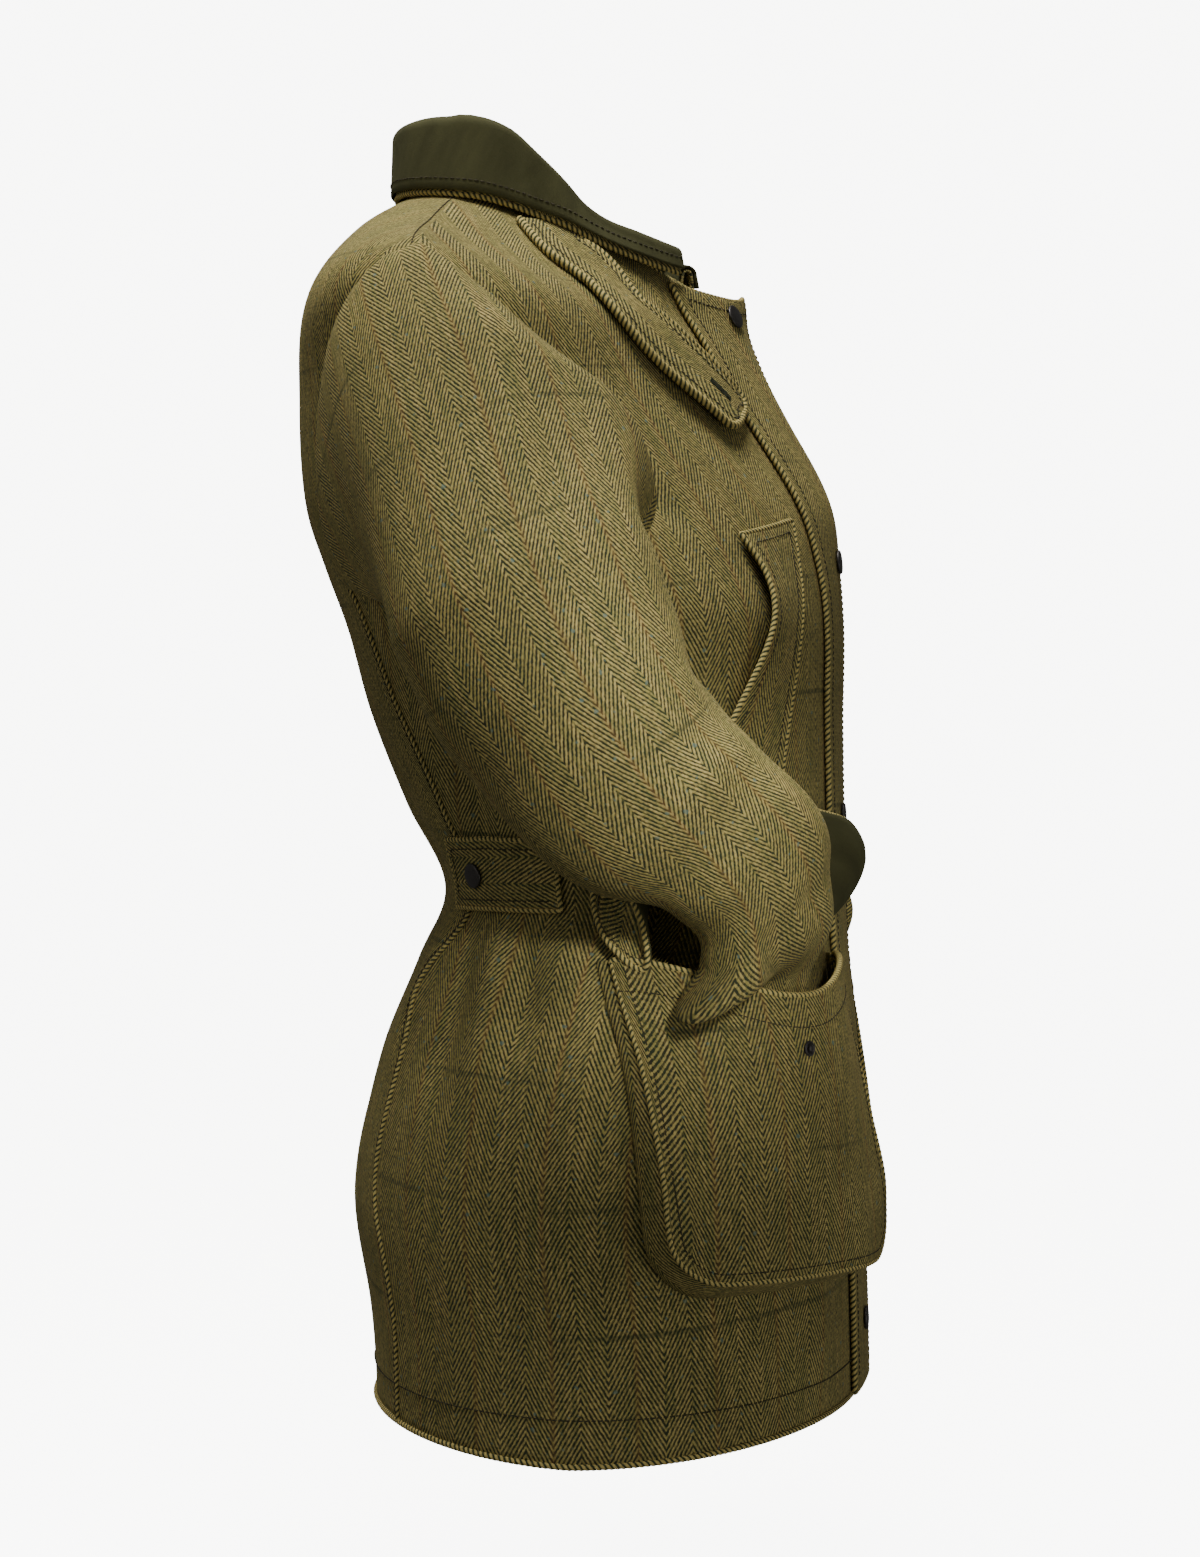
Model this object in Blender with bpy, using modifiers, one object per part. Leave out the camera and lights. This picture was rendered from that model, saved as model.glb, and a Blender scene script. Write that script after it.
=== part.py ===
"""Tweed shooting jacket, hip length, worn shape, both cuffs tucked into the bellows pockets.

Sizes are in millimetres and are turned to metres as the meshes are made. +Z is up, the front faces -Y
and the wearer's right is -X. The origin is the middle of the neck base.

A place on the cloth is an angle round the body (0 centre front, 90 right side, 180 centre back), a level
(the height below the armholes, running on over the shoulders to the neck) and a distance out.
"""
import math

import bmesh
import bpy
import numpy as np
from mathutils import Matrix, Vector

COLLECTION = "tweed_shooting_jacket"
SIDES = ("right", "left")
FLIP = np.array([-1.0, 1.0, 1.0])

# Driving sizes
MM = 0.001
CLOTH = 2.2              # one layer of tweed with its lining
DOUBLE_CLOTH = 3.0       # two layers sewn together, as in flaps and tabs
MOLESKIN = 1.6
GAP = 0.3                # between pieces at a seam
HEM_LEVEL = -701.0
NECK_LEVEL = 30.0
SHOULDER_LEVEL = -60.0
UNDERARM_LEVEL = -226.0
UNDERARM_ANGLE = 95.0
SHOULDER_ANGLE = 90.0
FRONT_DROP_POWER = 1.2   # how the shoulder line falls away to the front and back
FRONT_EDGE = 5.0         # each front stops this far from the centre, beside the zip

# Levels of the rows of points in the body, closer together at the waist and round the armholes
SKIRT_LEVELS = (-701, -664, -628, -592, -556, -520, -488, -460, -437, -416, -396, -376, -354, -328, -300,
                -270, -244)
ARM_FRONT_LEVELS = (-216, -202, -180, -152, -126, -102, -80)
ARM_BACK_LEVELS = (-192, -166, -140, -118, -98, -79)
YOKE_LEVELS = (-60, -38, -15, 8, 30)
UNDERARM_COLUMNS = 9
FRONT_COLUMNS = 10
BACK_COLUMNS = 13
SHARP_ANGLE = math.radians(50)

# Rings of the body from the hem to the neck: heights at the back, side and front, depths at the back,
# widest place and front, half width, and how square the back and front halves are
RING_COLUMNS = ("level", "z_back", "z_side", "z_front", "y_back", "y_mid", "y_front", "half_width",
                "back_power", "front_power")
RINGS = [
    (-701, -689, -704, -691, 94, -48, -191, 210, 2.2, 2.3),
    (-640, -640, -640, -640, 96, -46, -190, 209, 2.2, 2.3),
    (-570, -570, -570, -570, 106, -42, -188, 204, 2.2, 2.3),
    (-490, -490, -490, -490, 92, -46, -185, 192, 2.2, 2.3),
    (-435, -435, -435, -435, 70, -54, -180, 178, 2.2, 2.2),
    (-395, -395, -395, -395, 55, -58, -178, 168, 2.2, 2.2),
    (-345, -345, -345, -345, 78, -50, -177, 170, 2.2, 2.2),
    (-290, -290, -290, -290, 100, -36, -176, 175, 2.2, 2.2),
    (-240, -240, -240, -240, 113, -22, -176, 181, 2.3, 2.2),
    (-205, -205, -205, -205, 126, -10, -174, 185, 2.3, 1.85),
    (-170, -170, -170, -170, 137, 5, -167, 187, 2.3, 1.6),
    (-120, -112, -100, -118, 140, 22, -139, 190, 2.3, 1.38),
    (-60, -52, -37, -80, 133, 38, -117, 192, 2.3, 1.33),
    (-15, -6, -10, -58, 110, 40, -104, 130, 2.2, 1.5),
    (30, 22, 15, -36, 76, 38, -92, 70, 2.0, 2.0),
]

# Soft folds in the body, the same on both sides: angle at the top and bottom of the fold, levels of its
# ends, its spread in degrees and its height (below 0 it is a trough)
FOLD_COLUMNS = ("top_angle", "low_angle", "top_level", "low_level", "spread", "height")
FOLDS = [
    (127, 121, -404, -530, 4.5, -5.0),
    (118, 108, -402, -520, 4.5, 4.5),
    (109, 97, -404, -500, 4.5, -4.5),
    (100, 88, -406, -470, 5.0, 3.5),
    (140, 147, -404, -500, 5.0, 4.0),
    (122, 118, -300, -370, 5.0, -4.0),
    (112, 106, -300, -368, 5.0, 3.0),
    (150, 160, -330, -420, 6.0, -3.5),
    (62, 50, -140, -190, 4.5, -3.5),
    (30, 26, -560, -690, 6.0, 3.5),
    (100, 102, -540, -695, 7.0, -4.0),
    (165, 168, -520, -695, 6.0, 3.0),
]

# Armhole outline on the right side, from the shoulder down its front, under the arm and up its back
ARMHOLE_COLUMNS = ("angle", "level")
ARMHOLE = [
    (90, -60), (74, -78), (65, -110), (61, -150), (63.5, -187), (75, -214), (95, -226),
    (118, -227), (140, -214), (139, -180), (133, -140), (123, -103), (108, -76),
]
ARMHOLE_LOW_CORNER = 6   # row of ARMHOLE below the arm
ARMHOLE_BACK_CORNER = 8  # row of ARMHOLE where the long back seam meets it
FINE_PER_ROW = 12

# Long seam of the back, from the hem to the armhole
BACK_SEAM_COLUMNS = ("level", "angle")
BACK_SEAM = [
    (-701, 137), (-603, 138), (-559, 141), (-485, 139), (-446, 141), (-408, 132), (-342, 131),
    (-285, 135), (-214, 140),
]

# Right sleeve below the cap: centre, tilt of the arm forward from hanging, turn inward, and the
# section's width and depth
SLEEVE_COLUMNS = ("x", "y", "z", "tilt", "turn", "width", "depth")
SLEEVE = [
    (-242, -18, -232, 25, 0, 152, 104),
    (-246, -42, -275, 31, 0, 150, 102),
    (-247, -72, -313, 43, 0, 134, 100),
    (-240, -101, -341, 55, 0, 120, 94),
    (-225, -132, -364, 52, 8, 94, 80),
    (-204, -151, -394, 42, 20, 88, 62),
    (-177, -163, -421, 30, 36, 84, 42),
    (-151, -154, -441, 5, 50, 54, 20),
    (-151, -155, -468, 3, 50, 52, 17),
]
SLEEVE_LEFT_WRIST = {    # rows of SLEEVE that are slimmer on the left, still given for the right side
    4: (-225, -130, -367, 52, 8, 86, 80),
    5: (-206, -147, -398, 42, 20, 76, 62),
    6: (-180, -159, -424, 30, 36, 72, 42),
}
ARMHOLE_CLEARANCE = 0.6  # between the sleeve and the edge of the armhole
CAP_RINGS = 4
CAP_RISE = 62.0          # how strongly the cap leaves the shoulder square to it
CAP_FALL = 95.0          # how strongly it then runs down the arm
CAP_SHARE = 0.65         # neither is stronger than this share of the way to go
CAP_SHORT = 22.0         # below the arm the way is short and the cloth just turns down
SLEEVE_ROWS = (0, 0.8, 1.5, 2.0, 2.5, 3.0, 3.6, 4.3, 5.0, 5.5, 6.0, 6.5, 7.0, 8.0)

# Creases of the sleeve: angle round the section, row of SLEEVE, spread along and around, and height
ELBOW_FOLD_COLUMNS = ("around", "row", "row_spread", "around_spread", "height")
ELBOW_FOLDS = [
    (110, 2.1, 0.45, 38, -6.0),
    (70, 2.9, 0.5, 30, -4.0),
    (250, 2.6, 0.5, 30, 4.0),
    (330, 6.2, 0.6, 40, 7.0),
    (60, 5.6, 0.45, 30, -5.0),
    (290, 4.8, 0.4, 35, -4.0),
]

# Collar, from the centre back to its front end: angle, height of the roll over the neck seam, lean of the
# stand, spread of the fall's edge, and the edge's height over the seam
COLLAR_COLUMNS = ("angle", "roll", "lean", "spread", "edge")
COLLAR = [
    (180, 37, 1.0, 14.5, -1.0),
    (135, 39, 2.0, 16.5, -1.0),
    (100, 42, 3.5, 19.0, -1.5),
    (80, 42, 4.0, 19.5, -2.0),
    (73, 33, 4.0, 19.5, -2.5),
    (66, 24, 3.0, 19.0, -2.0),
    (60, 15.5, 1.5, 18.5, -3.0),
    (54, 12, 1.0, 18.0, -3.5),
    (42, 13, 1.0, 16.5, -2.0),
    (27, 15, 1.0, 15.5, 1.5),
]
COLLAR_STATIONS = (27, 34, 42, 48, 54, 60, 66, 72, 78, 86, 100, 120, 140, 160, 180)
COLLAR_FOOT = 0.7        # the stand starts this far over the neck edge
ROLL_WIDTH = 13.0
ROLL_ARCH = 0.5          # height of the roll over its width
COLLAR_SPACE = 1.4       # between the two collars
UNDER_COLLAR_PEEK = 2.5  # the under collar shows this far below the top collar

# Storm flap
FLAP_SEWN_ARC = 42.0     # on the right front
FLAP_FREE_ARC = 36.0     # on the left front
FLAP_TOP_LEVEL = 13.0
FLAP_TOP_RISE = 5.0      # the top edge rises this much towards the free side
FLAP_CURL = 1.3          # how the lift grows from the sewn edge to the free edge
FLAP_LIFT_WAY = (0.10, -0.99, 0.0)
STORM_REST = 1.0         # between the storm flap and the fronts at its sewn edge
FLAP_LIFT = [(-701, 2.0), (-260, 2.0), (-200, 4.0), (-150, 13.0), (-100, 16.0), (-40, 22.0), (22, 34.0)]
STUD_LEVELS = (-8, -201, -352, -503, -654)
STUD_DIAMETER = 14.5
STUD_HEIGHT = 2.6
STUD_REST = 0.6
STUD_SIDES = 16
STUD_PROFILE = ((0.92, 0.0), (1.0, 0.35), (0.86, 0.8), (0.45, 1.0))  # shares of the radius and the height

# Zip
ZIP_TAPE_WIDTH = 16.0
ZIP_TAPE = 1.0
ZIP_REST = 1.2
ZIP_HALF_GAP = 2.2       # each tape stops this far from the centre
SLIDER = (9.0, 4.5, 13.0)
SLIDER_REST = 0.9

# Chest pocket: arc of its free edge and sewn edge at each level, and how far the free edge gapes
CHEST_COLUMNS = ("level_free", "arc_free", "level_sewn", "arc_sewn", "gape")
CHEST_POCKET = [
    (-193, 122, -180, 62, 2.0),
    (-214, 119, -214, 75, 5.0),
    (-240, 126, -250, 90, 8.0),
    (-276, 144, -285, 99, 7.0),
    (-310, 160, -318, 109, 4.0),
    (-338, 166, -345, 113, 1.0),
]

CHEST_REST = 0.9

# Bellows pocket
POCKET_REAR_ARC = 240.0
POCKET_FRONT_ARC = 55.0
POCKET_TOP_LEVEL = -432.0
POCKET_MOUTH_DIP = 24.0
POCKET_BOTTOM_LEVEL = -614.0
POCKET_CORNER = 34.0
GUSSET = 1.5
GUSSET_REST = 1.2
GUSSET_SPACE = 0.5       # between the gusset and the face
GUSSET_BULGE = 0.45      # share of the face's stand where the gusset folds
POCKET_COLUMNS = (0.0, 0.02, 0.06, 0.12, 0.22, 0.34, 0.46, 0.58, 0.7, 0.8, 0.88, 0.94, 0.98, 1.0)
POCKET_ROWS = 9
POCKET_BOW = 0.9         # below 1 the middle of the face is flatter
POCKET_INSET = 9.0       # the face is this much smaller all round than its place on the body
POCKET_OUT_COLUMNS = ("down", "rear", "middle", "front")
POCKET_OUT = [           # stand of the face from the body, by the share of the way down
    (0.0, 6.5, 32.0, 7.0),
    (0.25, 9.0, 28.0, 10.0),
    (0.6, 17.0, 26.0, 19.0),
    (0.85, 23.0, 27.0, 26.0),
    (1.0, 23.0, 26.0, 26.0),
]
FLATTENS = (0.42, 0.9)   # shares of the way to the front over which the left pocket lies flatter
LEFT_FULL = 0.5          # how full the front of the left pocket is beside the right one
SOCKET_STUD_DIAMETER = 8.5
SOCKET_STUD_DROP = 34.0

# Pocket flap: share along it, its tip's height above (or below) the sewn edge, and how far out the middle
# and the tip of its depth stand; the rear end hangs, the rest is thrown up by the arm
FLAP_REAR_ARC = 244.0
FLAP_FRONT_ARC = 48.0
FLAP_REAR_LEVEL = -381.0
FLAP_FRONT_LEVEL = -400.0
POCKET_FLAP_COLUMNS = ("along", "tip_rise", "middle_out", "tip_out")
POCKET_FLAP = [
    (0.0, -46, 5.0, 7.0),
    (0.18, -47, 8.0, 14.0),
    (0.27, -38, 14.0, 26.0),
    (0.36, -4, 18.0, 27.0),
    (0.46, 34, 16.0, 20.0),
    (0.6, 52, 9.0, 12.0),
    (0.8, 54, 8.0, 12.0),
    (1.0, 50, 10.0, 15.0),
]
FLAP_COLUMNS = (0.0, 0.03, 0.08, 0.14, 0.2, 0.26, 0.32, 0.38, 0.45, 0.55, 0.66, 0.77, 0.86, 0.92, 0.97,
                1.0)
FLAP_ROWS = 6
FLAP_CORNER = 20.0
FLAP_TWEED = 1.8
FLAP_LINING = 1.2
FLAP_FLAT = 4.0          # stand of the tip of a flap that lies flat
FLAP_REST = 2.7          # between the body and the middle of the flap at its sewn edge

# Throat tab: angle and level along its middle, and how far it stands from the chest
THROAT_TAB_COLUMNS = ("angle", "level", "out")
THROAT_TAB = [(61, 8, 0.0), (47, -16, 1.0), (36.5, -66, 2.5), (29, -104, 5.0), (24, -125, 4.0)]
THROAT_TAB_WIDTH = 37.0
THROAT_REST = 1.0

# Waist tab
WAIST_TAB_FRONT_ARC = 254.0
WAIST_TAB_BACK_ARC = 337.0
WAIST_TAB_LEVEL = -384.0
WAIST_TAB_HEIGHT = 40.0
WAIST_STUD_ARC = 311.0
WAIST_REST = 1.3

# Finishes: base colour, roughness, metallic
TWEED = ((0.105, 0.088, 0.030, 1.0), 0.95, 0.0)
OLIVE = ((0.034, 0.032, 0.010, 1.0), 0.90, 0.0)
GUNMETAL = ((0.045, 0.042, 0.040, 1.0), 0.40, 1.0)
BLACK_ZIP = ((0.020, 0.020, 0.022, 1.0), 0.50, 0.0)


def column(rows, names, name):
    """One named column of a table."""
    place = names.index(name)
    return np.array([row[place] for row in rows], float)


def smooth(xs, ys, x):
    """Smooth curve through the rows of a table whose xs rise."""
    x = np.clip(np.asarray(x, float), xs[0], xs[-1])
    slope = np.diff(ys) / np.diff(xs)
    tangent = np.concatenate([slope[:1], (slope[:-1] + slope[1:]) / 2, slope[-1:]])
    i = np.clip(np.searchsorted(xs, x, side="right") - 1, 0, len(xs) - 2)
    step = xs[i + 1] - xs[i]
    s = (x - xs[i]) / step
    start = (2 * s**3 - 3 * s**2 + 1) * ys[i] + (s**3 - 2 * s**2 + s) * step * tangent[i]
    end = (3 * s**2 - 2 * s**3) * ys[i + 1] + (s**3 - s**2) * step * tangent[i + 1]
    return start + end


def ease(share):
    """A soft step from 0 to 1."""
    share = np.clip(share, 0.0, 1.0)
    return share**2 * (3 - 2 * share)


def smooth_column(rows, names, key, name, x):
    """A named column read as a smooth curve over the key column."""
    return smooth(column(rows, names, key), column(rows, names, name), x)


def ring_value(name, level):
    return smooth_column(RINGS, RING_COLUMNS, "level", name, level)


def bare_form(angle, level):
    """Points of the body without its folds."""
    angle, level = np.broadcast_arrays(np.asarray(angle, float), np.asarray(level, float))
    cosine = np.cos(np.radians(angle))
    sine = np.sin(np.radians(angle))
    front = cosine > 0
    power = np.where(front, ring_value("front_power", level), ring_value("back_power", level))
    y_mid = ring_value("y_mid", level)
    z_side = ring_value("z_side", level)
    reach = np.where(front, ring_value("y_front", level), ring_value("y_back", level)) - y_mid
    drop = np.where(front, ring_value("z_front", level), ring_value("z_back", level)) - z_side
    x = -np.sign(sine) * ring_value("half_width", level) * np.abs(sine) ** (2 / power)
    y = y_mid + reach * np.abs(cosine) ** (2 / power)
    z = z_side + drop * np.abs(cosine) ** FRONT_DROP_POWER
    return np.stack([x, y, z], -1)


def form_normal(angle, level):
    """Unit vectors out of the body."""
    turn = 1.0
    rise = 1.5
    low = np.clip(np.asarray(level, float) - rise, HEM_LEVEL, NECK_LEVEL)
    high = np.clip(np.asarray(level, float) + rise, HEM_LEVEL, NECK_LEVEL)
    angle = np.asarray(angle, float)
    around = bare_form(angle + turn, level) - bare_form(angle - turn, level)
    up = bare_form(angle, high) - bare_form(angle, low)
    normal = np.cross(up, around)
    return normal / np.linalg.norm(normal, axis=-1, keepdims=True)


def fold_height(angle, level):
    """Height of the soft folds at a place on the body."""
    side_angle = np.abs((np.asarray(angle, float) + 180) % 360 - 180)
    total = np.zeros(np.broadcast(side_angle, level).shape)
    for row in FOLDS:
        fold = dict(zip(FOLD_COLUMNS, row))
        length = fold["top_level"] - fold["low_level"]
        along = np.clip((fold["top_level"] - np.asarray(level, float)) / length, 0, 1)
        middle = fold["top_angle"] + (fold["low_angle"] - fold["top_angle"]) * along
        swell = np.sin(math.pi * along) * np.exp(-(((side_angle - middle) / fold["spread"]) ** 2))
        total = total + fold["height"] * swell
    return total


def form(angle, level, out=0.0):
    """Points on the cloth of the body, moved out from its face."""
    lift = np.asarray(out, float) + fold_height(angle, level)
    return bare_form(angle, level) + form_normal(angle, level) * lift[..., None]


def angle_at_arc(level, arc):
    """Angle reached by going a distance round the body from the centre front."""
    angles = np.linspace(-60, 175, 471)
    points = bare_form(angles, np.full_like(angles, level))
    steps = np.concatenate([[0], np.cumsum(np.linalg.norm(np.diff(points, axis=0), axis=1))])
    steps -= np.interp(0, angles, steps)
    return np.interp(arc, steps, angles)


def angles_at_arcs(levels, arcs):
    """The same for arrays of places."""
    levels, arcs = np.broadcast_arrays(np.asarray(levels, float), np.asarray(arcs, float))
    flat = [angle_at_arc(level, arc) for level, arc in zip(levels.ravel(), arcs.ravel())]
    return np.array(flat).reshape(levels.shape)


def half_gap(angle, level):
    """Degrees of half a seam gap."""
    speed = np.linalg.norm(bare_form(angle + 0.5, level) - bare_form(angle - 0.5, level), axis=-1)
    return GAP / 2 / speed


def closed_curve(points):
    """Many steps along a smooth closed curve through the points."""
    points = np.asarray(points, float)
    s = np.linspace(0, 1, FINE_PER_ROW, endpoint=False)[:, None]
    fine = []
    for i in range(len(points)):
        before, start, end, after = (points[(i + k) % len(points)] for k in (-1, 0, 1, 2))
        m0 = (end - before) / 2
        m1 = (after - start) / 2
        fine.append((2 * s**3 - 3 * s**2 + 1) * start + (s**3 - 2 * s**2 + s) * m0
                    + (3 * s**2 - 2 * s**3) * end + (s**3 - s**2) * m1)
    return np.concatenate(fine)


ARMHOLE_FINE = closed_curve(ARMHOLE)
LOWEST_ROW = ARMHOLE_LOW_CORNER * FINE_PER_ROW
CORNER_ROW = ARMHOLE_BACK_CORNER * FINE_PER_ROW


def armhole_front_angle(level):
    branch = ARMHOLE_FINE[:LOWEST_ROW + 1][::-1]
    return np.interp(level, np.maximum.accumulate(branch[:, 1]), branch[:, 0])


def armhole_low_level(angle):
    branch = ARMHOLE_FINE[LOWEST_ROW:CORNER_ROW + 1]
    return np.interp(angle, branch[:, 0], branch[:, 1])


def armhole_back_angle(level):
    branch = np.concatenate([ARMHOLE_FINE[CORNER_ROW:], ARMHOLE_FINE[:1]])
    return np.interp(level, np.maximum.accumulate(branch[:, 1]), branch[:, 0])


def back_seam_angle(level):
    return smooth_column(BACK_SEAM, BACK_SEAM_COLUMNS, "level", "angle", level)


# Making objects

def finish(name, look):
    """A material with the piece's own name."""
    colour, roughness, metallic = look
    material = bpy.data.materials.new(name + "_finish")
    material.use_nodes = True
    shader = material.node_tree.nodes["Principled BSDF"]
    shader.inputs["Base Color"].default_value = colour
    shader.inputs["Roughness"].default_value = roughness
    shader.inputs["Metallic"].default_value = metallic
    return material


def add_object(name, mesh, look):
    mesh.shade_smooth()
    mesh.set_sharp_from_angle(angle=SHARP_ANGLE)
    piece = bpy.data.objects.new(name, mesh)
    piece.data.materials.append(finish(name, look))
    bpy.data.collections[COLLECTION].objects.link(piece)
    return piece


def rows_to_faces(bm, rows, closed=False):
    """Four-sided faces between rows of points; a shorter row ends early."""
    verts = [[bm.verts.new(Vector(p) * MM) for p in row] for row in rows]
    for low, high in zip(verts, verts[1:]):
        count = min(len(low), len(high))
        last = count if closed else count - 1
        for j in range(last):
            k = (j + 1) % count
            bm.faces.new((low[j], low[k], high[k], high[j]))
    return verts


def mesh_from(bm, name):
    mesh = bpy.data.meshes.new(name)
    bm.to_mesh(mesh)
    bm.free()
    return mesh


def panel(name, outer_rows, inner_rows, look):
    """A cut panel: its outer and inner faces, joined round its edge."""
    bm = bmesh.new()
    outer = rows_to_faces(bm, outer_rows)
    rim = [edge for edge in bm.edges if len(edge.link_faces) == 1]
    rim_pairs = [tuple(edge.verts) for edge in rim]
    inner = rows_to_faces(bm, inner_rows)
    twin = {}
    for outer_row, inner_row in zip(outer, inner):
        twin.update(zip(outer_row, inner_row))
    for a, b in rim_pairs:
        bm.faces.new((a, b, twin[b], twin[a]))
    bmesh.ops.recalc_face_normals(bm, faces=bm.faces[:])
    return add_object(name, mesh_from(bm, name), look)


def sheet(name, rows, thickness, look, closed=False, inward=False):
    """An open surface given its thickness outward, or inward, from the points."""
    bm = bmesh.new()
    rows_to_faces(bm, rows, closed)
    piece = add_object(name, mesh_from(bm, name), look)
    wall = piece.modifiers.new("wall", "SOLIDIFY")
    wall.thickness = thickness * MM
    wall.offset = -1.0 if inward else 1.0
    return piece


def for_side(side, rows):
    """Rows of points made for the right side of the body, or the same rows for the left."""
    if side == "right":
        return rows
    return [row * FLIP for row in rows][::-1]


# Body panels

def skirt_share(level):
    """Share of the way from the hem to the underarm."""
    return (level - HEM_LEVEL) / (UNDERARM_LEVEL - HEM_LEVEL)


def seam_level(share):
    """Level of a point of the long back seam, at a share of the way from the hem to the armhole."""
    corner = column(ARMHOLE, ARMHOLE_COLUMNS, "level")[ARMHOLE_BACK_CORNER]
    return HEM_LEVEL + (corner - HEM_LEVEL) * share


def underarm_angles():
    corner = column(ARMHOLE, ARMHOLE_COLUMNS, "angle")[ARMHOLE_BACK_CORNER]
    return np.linspace(UNDERARM_ANGLE, corner, UNDERARM_COLUMNS + 1)[1:]


def front_rows(out):
    """Rows of the right front from the hem to the neck; the rows above the underarm stop at the armhole."""
    share_front = np.linspace(0, 1, FRONT_COLUMNS + 1)
    share_back = np.linspace(0, 1, UNDERARM_COLUMNS + 1)[1:]
    low_levels = armhole_low_level(underarm_angles())
    rows = []
    for level in (*SKIRT_LEVELS, UNDERARM_LEVEL):
        share = skirt_share(level)
        edge = angle_at_arc(level, FRONT_EDGE)
        seam = back_seam_angle(seam_level(share))
        seam = seam - half_gap(seam, seam_level(share))
        front_angles = edge + (UNDERARM_ANGLE - edge) * share_front
        back_angles = UNDERARM_ANGLE + (seam - UNDERARM_ANGLE) * share_back
        back_levels = HEM_LEVEL + (low_levels - HEM_LEVEL) * share
        angles = np.concatenate([front_angles, back_angles])
        levels = np.concatenate([np.full(FRONT_COLUMNS + 1, level), back_levels])
        rows.append(form(angles, levels, out))
    for level in (*ARM_FRONT_LEVELS, *YOKE_LEVELS):
        end = armhole_front_angle(level) if level < SHOULDER_LEVEL else SHOULDER_ANGLE
        end = end - half_gap(end, level)
        edge = angle_at_arc(level, FRONT_EDGE)
        angles = edge + (end - edge) * share_front
        rows.append(form(angles, np.full_like(angles, level), out))
    return rows


def back_rows(out):
    """Rows of the back from the hem to the neck, between the long seams, armholes and shoulder seams."""
    edges = []
    for level in (*SKIRT_LEVELS, UNDERARM_LEVEL):
        edges.append((seam_level(skirt_share(level)), back_seam_angle(seam_level(skirt_share(level)))))
    for level in ARM_BACK_LEVELS:
        edges.append((level, armhole_back_angle(level)))
    for level in YOKE_LEVELS:
        edges.append((level, SHOULDER_ANGLE))
    rows = []
    for level, edge in edges:
        edge = edge + half_gap(edge, level)
        angles = np.linspace(edge, 360 - edge, BACK_COLUMNS)
        rows.append(form(angles, np.full_like(angles, level), out))
    return rows


def make_body():
    for side in SIDES:
        panel("front_" + side, for_side(side, front_rows(0.0)), for_side(side, front_rows(-CLOTH)), TWEED)
    panel("back_panel", back_rows(0.0), back_rows(-CLOTH), TWEED)


# Sleeves

def armhole_places():
    """Angles and levels of the panels' points round the right armhole, from the shoulder down the front."""
    places = [(SHOULDER_ANGLE, SHOULDER_LEVEL)]
    places += [(float(armhole_front_angle(level)), level) for level in ARM_FRONT_LEVELS[::-1]]
    places.append((UNDERARM_ANGLE, UNDERARM_LEVEL))
    places += list(zip(underarm_angles(), armhole_low_level(underarm_angles())))
    places += [(float(armhole_back_angle(level)), level) for level in ARM_BACK_LEVELS]
    return np.array(places, float)


def sleeve_section(table, row, around):
    """A section of the arm: its ring of points and the way the arm runs there."""
    rows = np.arange(len(table))
    x, y, z, tilt, turn, width, depth = (float(smooth(rows, column(table, SLEEVE_COLUMNS, name), row))
                                         for name in SLEEVE_COLUMNS)
    tilt = math.radians(tilt)
    turn = math.radians(turn)
    outward = np.array([-math.cos(turn), -math.sin(turn), 0.0])
    forward = np.array([math.sin(turn), -math.cos(turn), 0.0])
    up = np.array([0.0, 0.0, 1.0])
    runs = forward * math.sin(tilt) - up * math.cos(tilt)
    front = forward * math.cos(tilt) + up * math.sin(tilt)
    swell = np.zeros(len(around))
    for values in ELBOW_FOLDS:
        fold = dict(zip(ELBOW_FOLD_COLUMNS, values))
        away = ((around - fold["around"] + 180) % 360 - 180) / fold["around_spread"]
        along = (row - fold["row"]) / fold["row_spread"]
        swell += fold["height"] * np.exp(-(along**2) - away**2)
    cosine = np.cos(np.radians(around))[:, None]
    sine = np.sin(np.radians(around))[:, None]
    direction = outward * cosine + front * sine
    oval = outward * cosine * depth / 2 + front * sine * width / 2
    return np.array([x, y, z]) + oval + direction * swell[:, None], runs


def sleeve_rings(table):
    """Rings from the armhole over the cap and down the arm to the cuff."""
    outline = armhole_places()
    edge = form(outline[:, 0], outline[:, 1], 0.0)
    steps = np.linalg.norm(np.roll(edge, -1, axis=0) - edge, axis=1)
    around = 360 * (np.cumsum(steps) - steps) / steps.sum()
    inward = edge.mean(axis=0) - edge
    inward /= np.linalg.norm(inward, axis=1, keepdims=True)
    normals = form_normal(outline[:, 0], outline[:, 1])
    start = edge + inward * ARMHOLE_CLEARANCE + normals * GAP
    first, runs = sleeve_section(table, 0, around)
    reach = np.linalg.norm(first - start, axis=1, keepdims=True)
    leaving = normals * np.clip((reach - CAP_SHORT) * CAP_SHARE, 1.0, CAP_RISE)
    landing = runs * np.clip((reach - CAP_SHORT) * CAP_SHARE, 1.0, CAP_FALL)
    rings = []
    for s in np.linspace(0, 1, CAP_RINGS, endpoint=False):
        rings.append((2 * s**3 - 3 * s**2 + 1) * start + (s**3 - 2 * s**2 + s) * leaving
                     + (3 * s**2 - 2 * s**3) * first + (s**3 - s**2) * landing)
    for row in SLEEVE_ROWS:
        rings.append(sleeve_section(table, row, around)[0])
    return rings


def make_sleeves():
    left = [SLEEVE_LEFT_WRIST.get(k, row) for k, row in enumerate(SLEEVE)]
    for side, table in zip(SIDES, (SLEEVE, left)):
        sheet("sleeve_" + side, for_side(side, sleeve_rings(table)), CLOTH, TWEED, closed=True)


# Collar

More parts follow.
